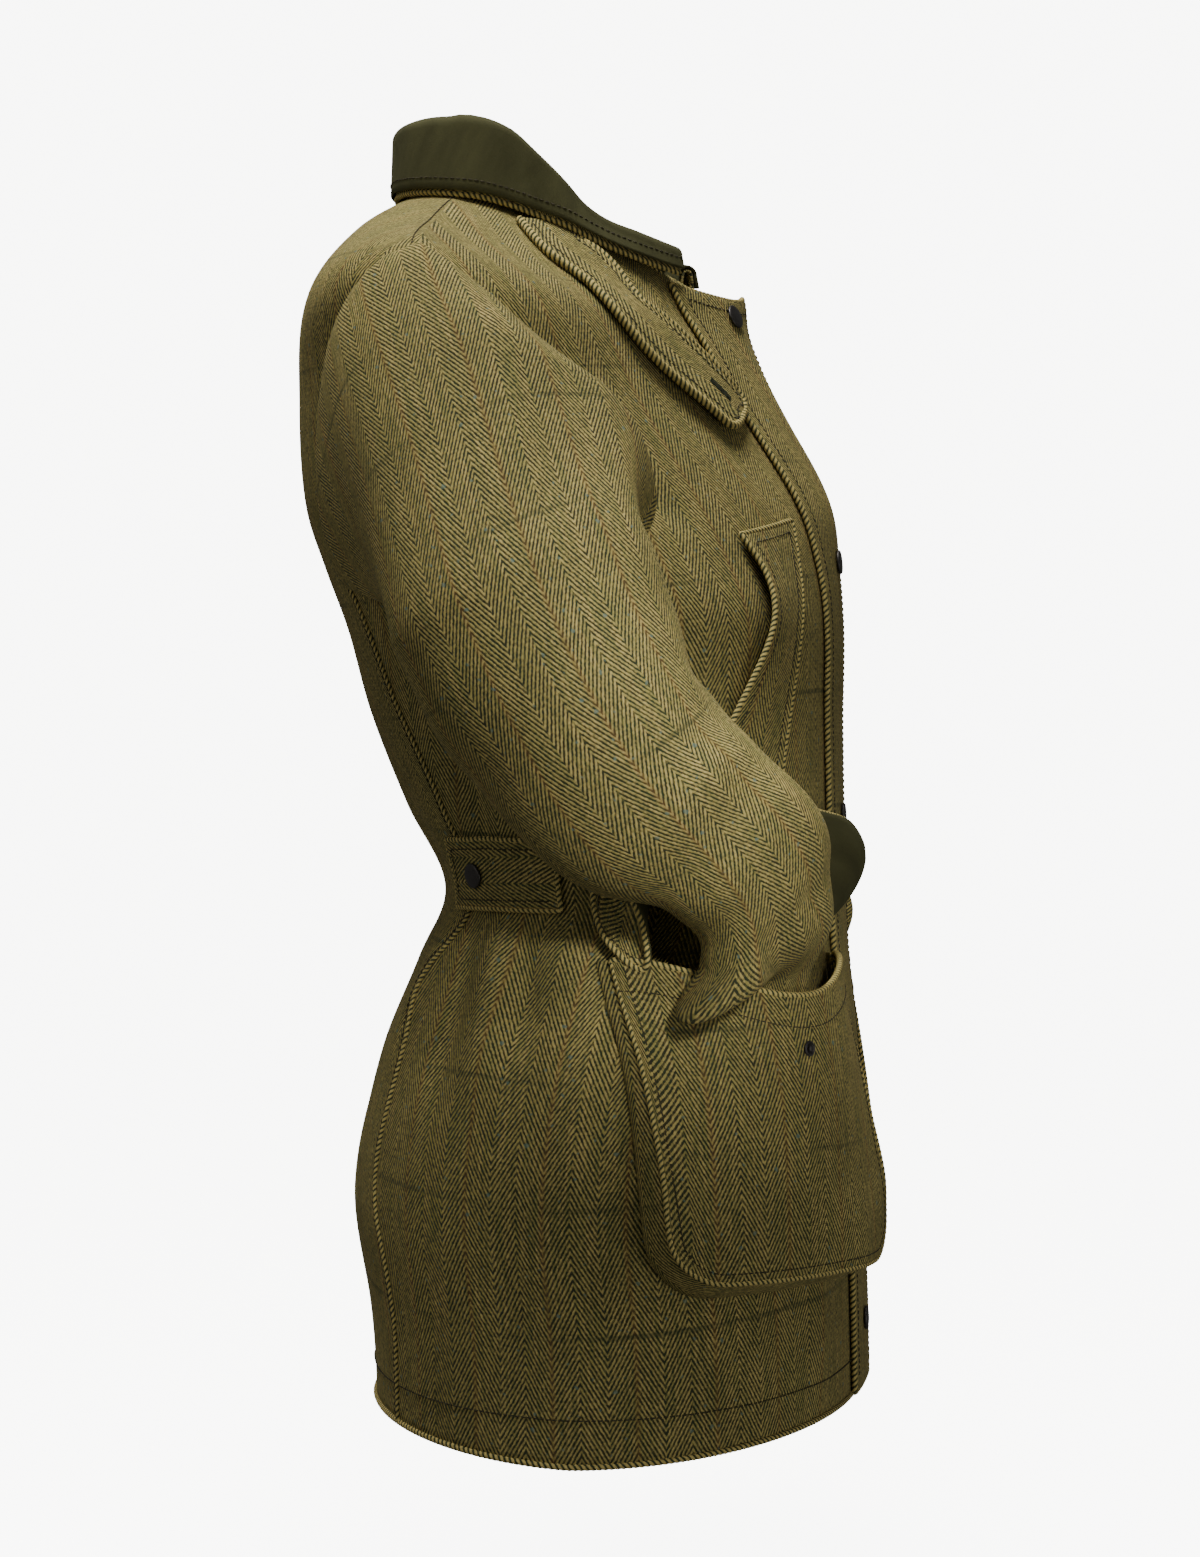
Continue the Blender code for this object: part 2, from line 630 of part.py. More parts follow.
def collar_profile(station, inset, drop):
    """Collar cross-section from the neck seam up the stand, over the roll and down the fall."""
    roll, lean, spread, edge = station
    inner_top = lean
    outer_top = lean + ROLL_WIDTH
    spring = roll - ROLL_WIDTH * ROLL_ARCH
    stand = [(inset, COLLAR_FOOT), (inner_top + inset, spring)]
    arch = []
    for degrees in (135, 90, 45):
        a = math.radians(degrees)
        middle = (inner_top + outer_top) / 2
        arch.append((middle + math.cos(a) * (ROLL_WIDTH / 2 - inset),
                     spring + math.sin(a) * (roll - spring - inset)))
    fall_start = np.array((outer_top - inset, spring))
    fall_end = np.array((spread - inset, edge - drop))
    fall = [tuple(fall_start + (fall_end - fall_start) * s) for s in (0.0, 0.5, 1.0)]
    return np.array(stand + arch + fall)


def collar_rows(inset, drop):
    angles = [*COLLAR_STATIONS, *(360 - angle for angle in COLLAR_STATIONS[-2::-1])]
    keys = -column(COLLAR, COLLAR_COLUMNS, "angle")
    rows = []
    for angle in angles:
        side = min(angle, 360 - angle)
        station = [float(smooth(keys, column(COLLAR, COLLAR_COLUMNS, name), -side))
                   for name in COLLAR_COLUMNS[1:]]
        profile = collar_profile(station, inset, drop)
        seam = form(np.array(angle), np.array(NECK_LEVEL), 0.0)
        outward = form_normal(np.array(angle), np.array(NECK_LEVEL)) * np.array([1.0, 1.0, 0.0])
        outward /= np.linalg.norm(outward)
        rows.append(seam + outward * profile[:, :1] + np.array([0.0, 0.0, 1.0]) * profile[:, 1:])
    return rows


def make_collar():
    sheet("collar_top", collar_rows(0.0, 0.0), MOLESKIN, OLIVE)
    sheet("collar_under", collar_rows(MOLESKIN + COLLAR_SPACE, UNDER_COLLAR_PEEK), MOLESKIN, TWEED)


# Storm flap, zip and studs

def flap_lift(level):
    levels = np.array([row[0] for row in FLAP_LIFT], float)
    lifts = np.array([row[1] for row in FLAP_LIFT], float)
    return smooth(levels, lifts, level)


def storm_flap_place(share, level, out):
    """A point of the storm flap, from its sewn edge (0) to its free edge (1)."""
    arc = FLAP_SEWN_ARC - (FLAP_SEWN_ARC + FLAP_FREE_ARC) * share
    angle = angle_at_arc(level, arc)
    lift = flap_lift(level) * share ** FLAP_CURL * np.array(FLAP_LIFT_WAY)
    return form(np.array(angle), np.array(level), STORM_REST + out) + lift


def storm_flap_level(share, height):
    """Level at a share of the flap's height; its top edge rises towards the free side."""
    top = FLAP_TOP_LEVEL + FLAP_TOP_RISE * share
    return HEM_LEVEL + 1.0 + (top - HEM_LEVEL - 1.0) * height


def make_storm_flap():
    shares = np.linspace(0, 1, 7)
    rows = [np.array([storm_flap_place(share, storm_flap_level(share, height), 0.0) for share in shares])
            for height in np.linspace(0, 1, 26)]
    sheet("storm_flap", rows, DOUBLE_CLOTH, TWEED)


def disc(name, place, axis, diameter, height, look):
    """A low domed stud that stands on a surface."""
    bm = bmesh.new()
    sides = STUD_SIDES
    radius = diameter / 2
    turn = np.linspace(0, 2 * math.pi, sides, endpoint=False)
    circle = np.stack([np.cos(turn), np.sin(turn), np.zeros(sides)], -1)
    rows = [circle * radius * wide + np.array([0.0, 0.0, height * high]) for wide, high in STUD_PROFILE]
    rings = rows_to_faces(bm, rows, closed=True)
    bm.faces.new(rings[0][::-1])
    bm.faces.new(rings[-1])
    piece = add_object(name, mesh_from(bm, name), look)
    turned = Vector(axis).to_track_quat("Z", "Y").to_matrix().to_4x4()
    piece.matrix_world = Matrix.Translation(Vector(place) * MM) @ turned
    return piece


def surface_axis(place_of, u, v, du, dv):
    """Outward direction of a surface given as a function of two numbers."""
    across = place_of(u + du, v) - place_of(u - du, v)
    along = place_of(u, v + dv) - place_of(u, v - dv)
    axis = np.cross(across, along)
    return axis / np.linalg.norm(axis)


def make_storm_studs():
    middle = 0.5
    for number, level in enumerate(STUD_LEVELS, 1):
        axis = surface_axis(lambda u, v: storm_flap_place(u, v, DOUBLE_CLOTH), middle, level, 0.12, 8.0)
        place = storm_flap_place(middle, level, DOUBLE_CLOTH)
        if axis[1] > 0:
            axis = -axis
        disc("storm_stud_%d" % number, place + axis * STUD_REST, axis, STUD_DIAMETER, STUD_HEIGHT, GUNMETAL)


def make_zip():
    levels = (*SKIRT_LEVELS[1:], UNDERARM_LEVEL, *ARM_FRONT_LEVELS, *YOKE_LEVELS)
    arcs = (ZIP_TAPE_WIDTH, ZIP_TAPE_WIDTH / 2, ZIP_HALF_GAP)
    out = -CLOTH - ZIP_REST
    rows = [np.array([form(np.array(angle_at_arc(level, arc)), np.array(level), out) for arc in arcs])
            for level in levels]
    for side in SIDES:
        sheet("zip_tape_" + side, for_side(side, rows), ZIP_TAPE, BLACK_ZIP, inward=True)
    place = form(np.array(0.0), np.array(NECK_LEVEL - 8), out)
    axis = Vector(form_normal(np.array(0.0), np.array(NECK_LEVEL - 8)))
    bm = bmesh.new()
    bmesh.ops.create_cube(bm, size=1.0, matrix=Matrix.Diagonal(Vector(SLIDER) * MM).to_4x4())
    bmesh.ops.bevel(bm, geom=bm.edges[:], offset=1.2 * MM, segments=2, affect="EDGES", profile=0.5)
    slider = add_object("zip_slider", mesh_from(bm, "zip_slider"), BLACK_ZIP)
    lean = math.atan2(axis.z, -axis.y)
    slider.matrix_world = (Matrix.Translation((Vector(place) + axis * (SLIDER[1] / 2 + SLIDER_REST)) * MM)
                           @ Matrix.Rotation(-lean, 4, "X"))


# Chest pockets

def make_chest_pockets():
    rows = []
    shares = np.linspace(0, 1, 7)
    count = len(CHEST_POCKET)
    for k in np.linspace(0, count - 1, 10):
        values = {name: float(smooth(np.arange(count), column(CHEST_POCKET, CHEST_COLUMNS, name), k))
                  for name in CHEST_COLUMNS}
        levels = values["level_sewn"] + (values["level_free"] - values["level_sewn"]) * shares
        arcs = values["arc_sewn"] + (values["arc_free"] - values["arc_sewn"]) * shares
        out = CHEST_REST + values["gape"] * shares**2
        rows.append(form(angles_at_arcs(levels, arcs), levels, out))
    for side in SIDES:
        sheet("chest_pocket_" + side, for_side(side, rows), CLOTH, TWEED)


# Bellows pockets and their flaps

def pocket_outline(u, v, inset):
    """Arc and level of a place on the pocket: u from the rear to the front, v from the top to the bottom."""
    rear = POCKET_REAR_ARC - inset
    front = POCKET_FRONT_ARC + inset
    bottom = POCKET_BOTTOM_LEVEL + inset
    radius = POCKET_CORNER - inset
    arc = rear + (front - rear) * u
    edge = np.minimum(arc - front, rear - arc)
    lift = np.where(edge < radius, radius - np.sqrt(np.maximum(radius**2 - (radius - edge) ** 2, 0)), 0.0)
    top = POCKET_TOP_LEVEL - POCKET_MOUTH_DIP * np.sin(math.pi * u) ** 2
    level = top + (bottom + lift - top) * v
    return arc, level


def flattened(share, full):
    """How much of its stand a pocket keeps, at a share of the way from its rear to its front."""
    start, end = FLATTENS
    return 1 - (1 - full) * ease((share - start) / (end - start))


def pocket_out(u, v, full):
    """How far the face stands from the body."""
    keys = column(POCKET_OUT, POCKET_OUT_COLUMNS, "down")
    rear, middle, front = (smooth(keys, column(POCKET_OUT, POCKET_OUT_COLUMNS, name), v)
                           for name in POCKET_OUT_COLUMNS[1:])
    bow = np.abs(np.sin(math.pi * u)) ** POCKET_BOW
    return ((rear + (front - rear) * u) * (1 - bow) + middle * bow) * flattened(u, full)


def pocket_face_point(u, v, full, out=0.0):
    u, v = np.broadcast_arrays(np.asarray(u, float), np.asarray(v, float))
    arc, level = pocket_outline(u, v, POCKET_INSET)
    return form(angles_at_arcs(level, arc), level, pocket_out(u, v, full) + out)


def pocket_rim():
    """Places round the pocket's rear, bottom and front edges."""
    sides = np.linspace(0, 1, POCKET_ROWS)
    down = [(0.0, v) for v in sides[:-1]]
    across = [(u, 1.0) for u in POCKET_COLUMNS]
    up = [(1.0, v) for v in sides[-2::-1]]
    return down + across + up


def make_bellows_pockets():
    for side, full in zip(SIDES, (1.0, LEFT_FULL)):
        us = np.array(POCKET_COLUMNS)
        rows = [pocket_face_point(us, np.full_like(us, v), full) for v in np.linspace(1, 0, POCKET_ROWS)]
        sheet("pocket_face_" + side, for_side(side, rows), CLOTH, TWEED)
        strip = []
        for u, v in pocket_rim():
            base_arc, base_level = pocket_outline(np.array(u), np.array(v), 0.0)
            angle = angles_at_arcs(base_level, base_arc)
            foot = form(angle, base_level, GUSSET_REST)
            bulge = form(angle, base_level, pocket_out(np.array(u), np.array(v), full) * GUSSET_BULGE)
            top = pocket_face_point(u, v, full, -GUSSET_SPACE)
            strip.append(np.array([foot, (foot + top + 2 * bulge) / 4, top]))
        sheet("pocket_gusset_" + side, for_side(side, strip), GUSSET, TWEED)


def pocket_flap_point(along, deep, full):
    """A point between the flap and its lining: along it from the rear, and down from the sewn edge."""
    keys = column(POCKET_FLAP, POCKET_FLAP_COLUMNS, "along")
    rise, middle, tip = (smooth(keys, column(POCKET_FLAP, POCKET_FLAP_COLUMNS, name), along)
                         for name in POCKET_FLAP_COLUMNS[1:])
    sewn = FLAP_REAR_LEVEL + (FLAP_FRONT_LEVEL - FLAP_REAR_LEVEL) * along
    arc = FLAP_REAR_ARC + (FLAP_FRONT_ARC - FLAP_REAR_ARC) * along
    edge = np.minimum(along, 1 - along) * (FLAP_REAR_ARC - FLAP_FRONT_ARC)
    inside = np.maximum(FLAP_CORNER**2 - (FLAP_CORNER - np.minimum(edge, FLAP_CORNER))**2, 0)
    cut = FLAP_CORNER - np.sqrt(inside)
    depth = deep * (1 - cut / np.maximum(np.abs(rise), FLAP_CORNER * 1.5))
    level = sewn + rise * depth
    stand = FLAP_REST + (4 * middle - tip) * depth + (2 * tip - 4 * middle) * depth**2
    flat = np.minimum(stand, FLAP_REST + FLAP_FLAT * depth)
    stand = flat + (stand - flat) * flattened(along, full)
    return form(angles_at_arcs(level, arc), level, stand)


def make_pocket_flaps():
    along = np.array(FLAP_COLUMNS)
    for side, full in zip(SIDES, (1.0, 0.0)):
        deeps = np.linspace(1, 0, FLAP_ROWS)
        rows = for_side(side, [pocket_flap_point(along, np.full_like(along, deep), full) for deep in deeps])
        flap = sheet("pocket_flap_" + side, rows, FLAP_TWEED, TWEED)
        lining = sheet("flap_lining_" + side, rows, FLAP_LINING, OLIVE, inward=True)
        shift_off(flap, GAP / 2)
        shift_off(lining, -GAP / 2)


def shift_off(piece, distance):
    """Move an open surface along its own normals."""
    mesh = piece.data
    moves = [vertex.normal * distance * MM for vertex in mesh.vertices]
    for vertex, move in zip(mesh.vertices, moves):
        vertex.co += move


def across_form(angle, level, along, distance):
    """Angles and levels reached by going a distance across the way that a strip runs on the body."""
    turn = bare_form(angle + 0.5, level) - bare_form(angle - 0.5, level)
    rise = (bare_form(angle, level + 1) - bare_form(angle, level - 1)) / 2
    across = np.cross(form_normal(angle, level), along) * distance[:, None]
    places = []
    for k in range(len(angle)):
        step = np.linalg.lstsq(np.stack([turn[k], rise[k]], 1), across[k], rcond=None)[0]
        places.append((angle[k] + step[0], level[k] + step[1]))
    return np.array(places).T


def throat_tab_rows():
    count = len(THROAT_TAB)
    steps = np.linspace(0, count - 1, 13)
    angle, level, out = (smooth(np.arange(count), column(THROAT_TAB, THROAT_TAB_COLUMNS, name), steps)
                         for name in THROAT_TAB_COLUMNS)
    middle = bare_form(angle, level)
    along = np.gradient(middle, axis=0)
    along /= np.linalg.norm(along, axis=1, keepdims=True)
    length = np.concatenate([[0], np.cumsum(np.linalg.norm(np.diff(middle, axis=0), axis=1))])
    half = THROAT_TAB_WIDTH / 2
    past = np.maximum(half - (length[-1] - length), 0)
    half_width = np.maximum(np.sqrt(half**2 - past**2), half * 0.35)
    rows = []
    for share in np.linspace(-1, 1, 5):
        side_angle, side_level = across_form(angle, level, along, half_width * share)
        rows.append(form(side_angle, side_level, out + THROAT_REST))
    return rows


def make_throat_tab():
    sheet("throat_tab", throat_tab_rows(), DOUBLE_CLOTH, TWEED)


def make_waist_tabs():
    levels = WAIST_TAB_LEVEL + np.linspace(-0.5, 0.5, 5) * WAIST_TAB_HEIGHT
    arcs = np.linspace(WAIST_TAB_BACK_ARC, WAIST_TAB_FRONT_ARC, 10)
    rows = [form(angles_at_arcs(np.full_like(arcs, level), arcs), np.full_like(arcs, level), WAIST_REST)
            for level in levels]
    angle = np.array(angle_at_arc(WAIST_TAB_LEVEL, WAIST_STUD_ARC))
    axis = form_normal(angle, np.array(WAIST_TAB_LEVEL))
    foot = form(angle, np.array(WAIST_TAB_LEVEL), WAIST_REST + DOUBLE_CLOTH + STUD_REST)
    for side, flip in zip(SIDES, (1.0, FLIP)):
        sheet("waist_tab_" + side, for_side(side, rows), DOUBLE_CLOTH, TWEED)
        disc("waist_stud_" + side, foot * flip, axis * flip, STUD_DIAMETER, STUD_HEIGHT, GUNMETAL)


def make_pocket_studs():
    u = 0.5
    v = SOCKET_STUD_DROP / (POCKET_TOP_LEVEL - POCKET_BOTTOM_LEVEL)
    for side, full, flip in zip(SIDES, (1.0, LEFT_FULL), (1.0, FLIP)):
        axis = surface_axis(lambda a, b: pocket_face_point(a, b, full), u, v, 0.05, 0.05)
        if axis[1] > 0:
            axis = -axis
        foot = pocket_face_point(u, v, full, CLOTH)
        disc("pocket_stud_" + side, foot * flip, axis * flip, SOCKET_STUD_DIAMETER, STUD_HEIGHT, GUNMETAL)


def main():
    for old in list(bpy.data.objects):
        bpy.data.objects.remove(old)
    bpy.context.scene.collection.children.link(bpy.data.collections.new(COLLECTION))
    make_body()
    make_sleeves()
    make_collar()
    make_storm_flap()
    make_storm_studs()
    make_zip()
    make_chest_pockets()
    make_bellows_pockets()
    make_pocket_flaps()
    make_throat_tab()
    make_waist_tabs()
    make_pocket_studs()


main()
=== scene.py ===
"""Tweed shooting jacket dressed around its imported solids: woven cloth, moleskin, sewing, studs and zip.

Sizes in the tables are millimetres; meshes are made in metres. +Z is up, the front faces -Y and the
wearer's right is -X. A place on the cloth is an angle round the body (0 centre front, 90 right side,
180 centre back), a level (the height below the armholes, running on over the shoulders to the neck)
and a distance out.
"""
import math

import bmesh
import bpy
import numpy as np
from bpy.props import FloatProperty, FloatVectorProperty, PointerProperty
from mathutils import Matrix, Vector


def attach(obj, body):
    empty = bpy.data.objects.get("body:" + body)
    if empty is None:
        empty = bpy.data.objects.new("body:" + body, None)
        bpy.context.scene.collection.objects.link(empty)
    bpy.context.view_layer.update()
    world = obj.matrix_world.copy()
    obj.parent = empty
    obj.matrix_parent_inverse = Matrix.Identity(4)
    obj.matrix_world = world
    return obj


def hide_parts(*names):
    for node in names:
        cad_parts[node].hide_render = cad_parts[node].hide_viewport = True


bl_info = {
    "name": "Tweed Shooting Jacket",
    "version": (1, 0, 0),
    "blender": (4, 5, 0),
    "location": "View3D > Sidebar > Jacket",
    "description": "Dresses the jacket's solids in herringbone tweed, moleskin, sewing and metal",
    "category": "Object",
}

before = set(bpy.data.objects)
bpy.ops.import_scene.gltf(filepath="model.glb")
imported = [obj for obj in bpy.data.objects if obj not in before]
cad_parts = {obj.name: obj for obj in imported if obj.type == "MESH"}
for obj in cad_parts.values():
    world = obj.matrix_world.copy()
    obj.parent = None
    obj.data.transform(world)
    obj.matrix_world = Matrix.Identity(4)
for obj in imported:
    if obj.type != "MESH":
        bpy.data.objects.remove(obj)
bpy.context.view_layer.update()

MM = 0.001
SIDES = ("right", "left")
FLIP = np.array([-1.0, 1.0, 1.0])
UP = np.array([0.0, 0.0, 1.0])
FORWARD = np.array([0.0, -1.0, 0.0])
BODY = "root"

# Places of the main lines, as in the solids
GAP = 0.3                # between pieces that meet
HEM_LEVEL = -701.0
NECK_LEVEL = 30.0
SHOULDER_LEVEL = -60.0
UNDERARM_LEVEL = -226.0
UNDERARM_ANGLE = 95.0
SHOULDER_ANGLE = 90.0
FRONT_DROP_POWER = 1.2
FRONT_EDGE = 5.0

# Rows and columns of points in the cloth of the body
SKIRT_LEVELS = (-701, -664, -628, -592, -556, -520, -488, -460, -437, -416, -396, -376, -354, -328, -300,
                -270, -244)
ARM_FRONT_LEVELS = (-216, -202, -180, -152, -126, -102, -80)
ARM_BACK_LEVELS = (-192, -166, -140, -118, -98, -79)
YOKE_LEVELS = (-60, -38, -15, 8, 30)
SKIRT_STEPS = 6
ARM_STEPS = 4
UNDERARM_COLUMNS = 36
FRONT_COLUMNS = 60
BACK_COLUMNS = 81

# Rings of the body from the hem to the neck: level, heights at the back, side and front, depths at the
# back, widest place and front, half width, and how square the back and front halves are
RINGS = [
    (-701, -689, -704, -691, 94, -48, -191, 210, 2.2, 2.3),
    (-640, -640, -640, -640, 96, -46, -190, 209, 2.2, 2.3),
    (-570, -570, -570, -570, 106, -42, -188, 204, 2.2, 2.3),
    (-490, -490, -490, -490, 92, -46, -185, 192, 2.2, 2.3),
    (-435, -435, -435, -435, 70, -54, -180, 178, 2.2, 2.2),
    (-395, -395, -395, -395, 55, -58, -178, 168, 2.2, 2.2),
    (-345, -345, -345, -345, 78, -50, -177, 170, 2.2, 2.2),
    (-290, -290, -290, -290, 100, -36, -176, 175, 2.2, 2.2),
    (-240, -240, -240, -240, 113, -22, -176, 181, 2.3, 2.2),
    (-205, -205, -205, -205, 126, -10, -174, 185, 2.3, 1.85),
    (-170, -170, -170, -170, 137, 5, -167, 187, 2.3, 1.6),
    (-120, -112, -100, -118, 140, 22, -139, 190, 2.3, 1.38),
    (-60, -52, -37, -80, 133, 38, -117, 192, 2.3, 1.33),
    (-15, -6, -10, -58, 110, 40, -104, 130, 2.2, 1.5),
    (30, 22, 15, -36, 76, 38, -92, 70, 2.0, 2.0),
]

# Soft folds in the body, the same on both sides: angle at the top and bottom of the fold, levels of its
# ends, its spread in degrees and its height (below 0 it is a trough)
FOLDS = [
    (127, 121, -404, -530, 4.5, -5.0),
    (118, 108, -402, -520, 4.5, 4.5),
    (109, 97, -404, -500, 4.5, -4.5),
    (100, 88, -406, -470, 5.0, 3.5),
    (140, 147, -404, -500, 5.0, 4.0),
    (122, 118, -300, -370, 5.0, -4.0),
    (112, 106, -300, -368, 5.0, 3.0),
    (150, 160, -330, -420, 6.0, -3.5),
    (62, 50, -140, -190, 4.5, -3.5),
    (30, 26, -560, -690, 6.0, 3.5),
    (100, 102, -540, -695, 7.0, -4.0),
    (165, 168, -520, -695, 6.0, 3.0),
]

# Armhole outline on the right side, from the shoulder down its front, under the arm and up its back:
# angle and level
ARMHOLE = [
    (90, -60), (74, -78), (65, -110), (61, -150), (63.5, -187), (75, -214), (95, -226),
    (118, -227), (140, -214), (139, -180), (133, -140), (123, -103), (108, -76),
]
ARMHOLE_LOW_CORNER = 6
ARMHOLE_BACK_CORNER = 8
CORNER_ANGLE, CORNER_LEVEL = ARMHOLE[ARMHOLE_BACK_CORNER]
FINE_PER_ROW = 12

# Long seam of the back, from the hem to the armhole: level and angle
BACK_SEAM = [
    (-701, 137), (-603, 138), (-559, 141), (-485, 139), (-446, 141), (-408, 132), (-342, 131),
    (-285, 135), (-214, 140),
]

# Right sleeve below the cap: centre, tilt of the arm forward from hanging, turn inward, width and depth
SLEEVE = [
    (-242, -18, -232, 25, 0, 152, 104),
    (-246, -42, -275, 31, 0, 150, 102),
    (-247, -72, -313, 43, 0, 134, 100),
    (-240, -101, -341, 55, 0, 120, 94),
    (-225, -132, -364, 52, 8, 94, 80),
    (-204, -151, -394, 42, 20, 88, 62),
    (-177, -163, -421, 30, 36, 84, 42),
    (-151, -154, -441, 5, 50, 54, 20),
    (-151, -155, -468, 3, 50, 52, 17),
]
# Rows of SLEEVE that differ on one side: the right cuff bunches and the left forearm lies further back
SLEEVE_RIGHT_WRIST = {
    6: (-185, -151, -421, 32, 34, 100, 52),
}
SLEEVE_LEFT_WRIST = {
    3: (-240, -97, -341, 55, 0, 114, 94),
    4: (-225, -120, -367, 52, 8, 84, 80),
    5: (-206, -137, -398, 42, 20, 74, 62),
    6: (-180, -151, -424, 30, 36, 70, 42),
}
ARMHOLE_CLEARANCE = 0.6
SLEEVE_RINGS = 97

# Head of the sleeve: its rings, which lie closer at the seam, and how far it leaves the armhole and comes
# down on the arm
CAP_RINGS = 28
CAP_RING_POWER = 1.5
CAP_RISE = 62.0
CAP_FALL = 95.0
CAP_SHARE = 0.65
CAP_SHORT = 22.0
# Eased edge all round the seam: its height, and the shares of the cap where it starts and ends
CAP_EDGE = 2.6
CAP_EDGE_START = 0.004
CAP_EDGE_END = 0.8
# Crest over the front seam: its height, its lap over the seam, the share of the cap where it peaks, its
# fade from there, and round the arm its middle angle, reach on both sides and fade
CAP_PUFF = 14.0
CAP_LAP = 13.0
CAP_CREST = 0.38
CAP_CREST_FADE = 0.35
CAP_ROLL = (75.0, 85.0, 35.0)
# Back of the sleeve, tucked forward
CAP_TUCK = 12.0
CAP_TUCK_ANGLE = 270.0
CAP_TUCK_SPREAD = 48.0

# Creases of the sleeve: angle round the section, row of SLEEVE, spread along and around, height, and for
# one of them how far its cloth hangs down
ELBOW_FOLD_COLUMNS = ("around", "row", "row_spread", "around_spread", "height", "drop")
ELBOW_FOLDS = [
    (75, 0.0, 0.9, 24, 9.0),
    (270, 0.2, 1.3, 46, -9.0),
    (110, 2.1, 0.45, 38, -6.0),
    (70, 2.9, 0.5, 30, -4.0),
    (250, 2.6, 0.5, 30, 4.0),
    (330, 6.2, 0.6, 40, 4.0),
    (60, 5.6, 0.45, 30, -5.0),
    (290, 4.8, 0.4, 35, -4.0),
    (20, 3.4, 0.22, 55, 2.5),
    (0, 3.85, 0.2, 60, -3.0),
    (335, 4.35, 0.22, 50, 2.5),
    (300, 1.5, 0.35, 35, -3.5),
]
RIGHT_CUFF_FOLDS = [
    (95, 4.7, 0.8, 42, 9.0),
    (275, 6.05, 0.55, 55, 9.0),
    (300, 6.2, 0.36, 50, 6.0, 9.5),
    (290, 5.52, 0.2, 48, -8.0),
    (350, 6.1, 0.45, 12, -9.0),
    (30, 6.2, 0.4, 30, 4.0),
    (35, 5.5, 0.2, 40, -3.0),
]

# Collar, from the centre back to its front end: angle, height of the roll over the neck seam, lean of the
# stand, spread of the fall's edge, and the edge's height over the seam
COLLAR = [
    (180, 37, 1.0, 14.5, -1.0),
    (135, 39, 2.0, 16.5, -1.0),
    (100, 42, 3.5, 19.0, -1.5),
    (80, 42, 4.0, 19.5, -2.0),
    (73, 33, 4.0, 19.5, -2.5),
    (66, 24, 3.0, 19.0, -2.0),
    (60, 15.5, 1.5, 18.5, -3.0),
    (54, 12, 1.0, 18.0, -3.5),
    (42, 13, 1.0, 16.5, -2.0),
    (27, 15, 1.0, 15.5, 1.5),
]
COLLAR_STATIONS = (27, 34, 42, 48, 54, 60, 66, 72, 78, 86, 100, 120, 140, 160, 180)
COLLAR_STEPS = 5
COLLAR_FOOT = 0.7
ROLL_WIDTH = 13.0
ROLL_ARCH = 0.5
COLLAR_SPACE = 1.4
UNDER_COLLAR_PEEK = 2.5
COLLAR_STITCH = 6.0
STAND_POINTS = 8
ROLL_POINTS = 11
ROLL_ENDS = (165, 15)    # degrees of the arch over the roll
FALL_POINTS = 10

# Storm flap
FLAP_SEWN_ARC = 42.0
FLAP_FREE_ARC = 36.0
FLAP_TOP_LEVEL = 13.0
FLAP_TOP_RISE = 5.0
FLAP_CURL = 1.3
FLAP_LIFT_WAY = (0.10, -0.99, 0.0)
STORM_REST = 1.0
# Level, and how far the free edge stands off there
FLAP_LIFT = [(-701, 2.0), (-260, 2.0), (-200, 4.0), (-150, 13.0), (-100, 16.0), (-40, 22.0), (22, 34.0)]
FLAP_STITCH = 8.0
FLAP_ABOVE_HEM = 1.0
STORM_FLAP_POINTS = 25
STORM_FLAP_ROWS = 151
STUD_LEVELS = (-8, -201, -352, -503, -654)
STUD_REST = 0.6

# Zip
ZIP_TAPE_WIDTH = 16.0
ZIP_REST = 1.2
ZIP_HALF_GAP = 2.2

# Chest pocket: level and arc of its free edge and of its sewn edge, and how far the free edge gapes
CHEST_POCKET = [
    (-193, 122, -180, 62, 2.0),
    (-214, 119, -214, 75, 5.0),
    (-240, 126, -250, 90, 8.0),
    (-276, 144, -285, 99, 7.0),
    (-310, 160, -318, 109, 4.0),
    (-338, 166, -345, 113, 1.0),
]
CHEST_ROWS = 46
CHEST_POINTS = 21
CHEST_REST = 0.9
CHEST_STITCH = 7.0

# Bellows pocket
POCKET_REAR_ARC = 240.0
POCKET_FRONT_ARC = 55.0
POCKET_TOP_LEVEL = -432.0
POCKET_MOUTH_DIP = 24.0
POCKET_BOTTOM_LEVEL = -614.0
POCKET_CORNER = 34.0
GUSSET_REST = 1.2
GUSSET_SPACE = 0.5
GUSSET_BULGE = 0.45
GUSSET_POINTS = 9
POCKET_BOW = 0.9
POCKET_INSET = 9.0
# Share of the way down, and how far out the face stands at its rear, middle and front
POCKET_OUT = [
    (0.0, 6.5, 32.0, 7.0),
    (0.25, 9.0, 28.0, 10.0),
    (0.6, 17.0, 26.0, 19.0),
    (0.85, 23.0, 27.0, 26.0),
    (1.0, 23.0, 26.0, 26.0),
]
FLATTENS = (0.42, 0.9)   # shares of the way to the front between which a pocket or flap flattens
FULL = (1.0, 0.5)        # how much of their stand the right and left pockets keep at the front
FLAP_FULL = (1.0, 0.0)
SOCKET_STUD_DROP = 34.0
POCKET_HEM = 18.0
POCKET_STITCH = 5.0
POCKET_ROLL = 0.0030

# Pocket flap
FLAP_REAR_ARC = 234.0
FLAP_FRONT_ARC = 48.0
FLAP_REAR_LEVEL = -381.0
FLAP_FRONT_LEVEL = -411.0
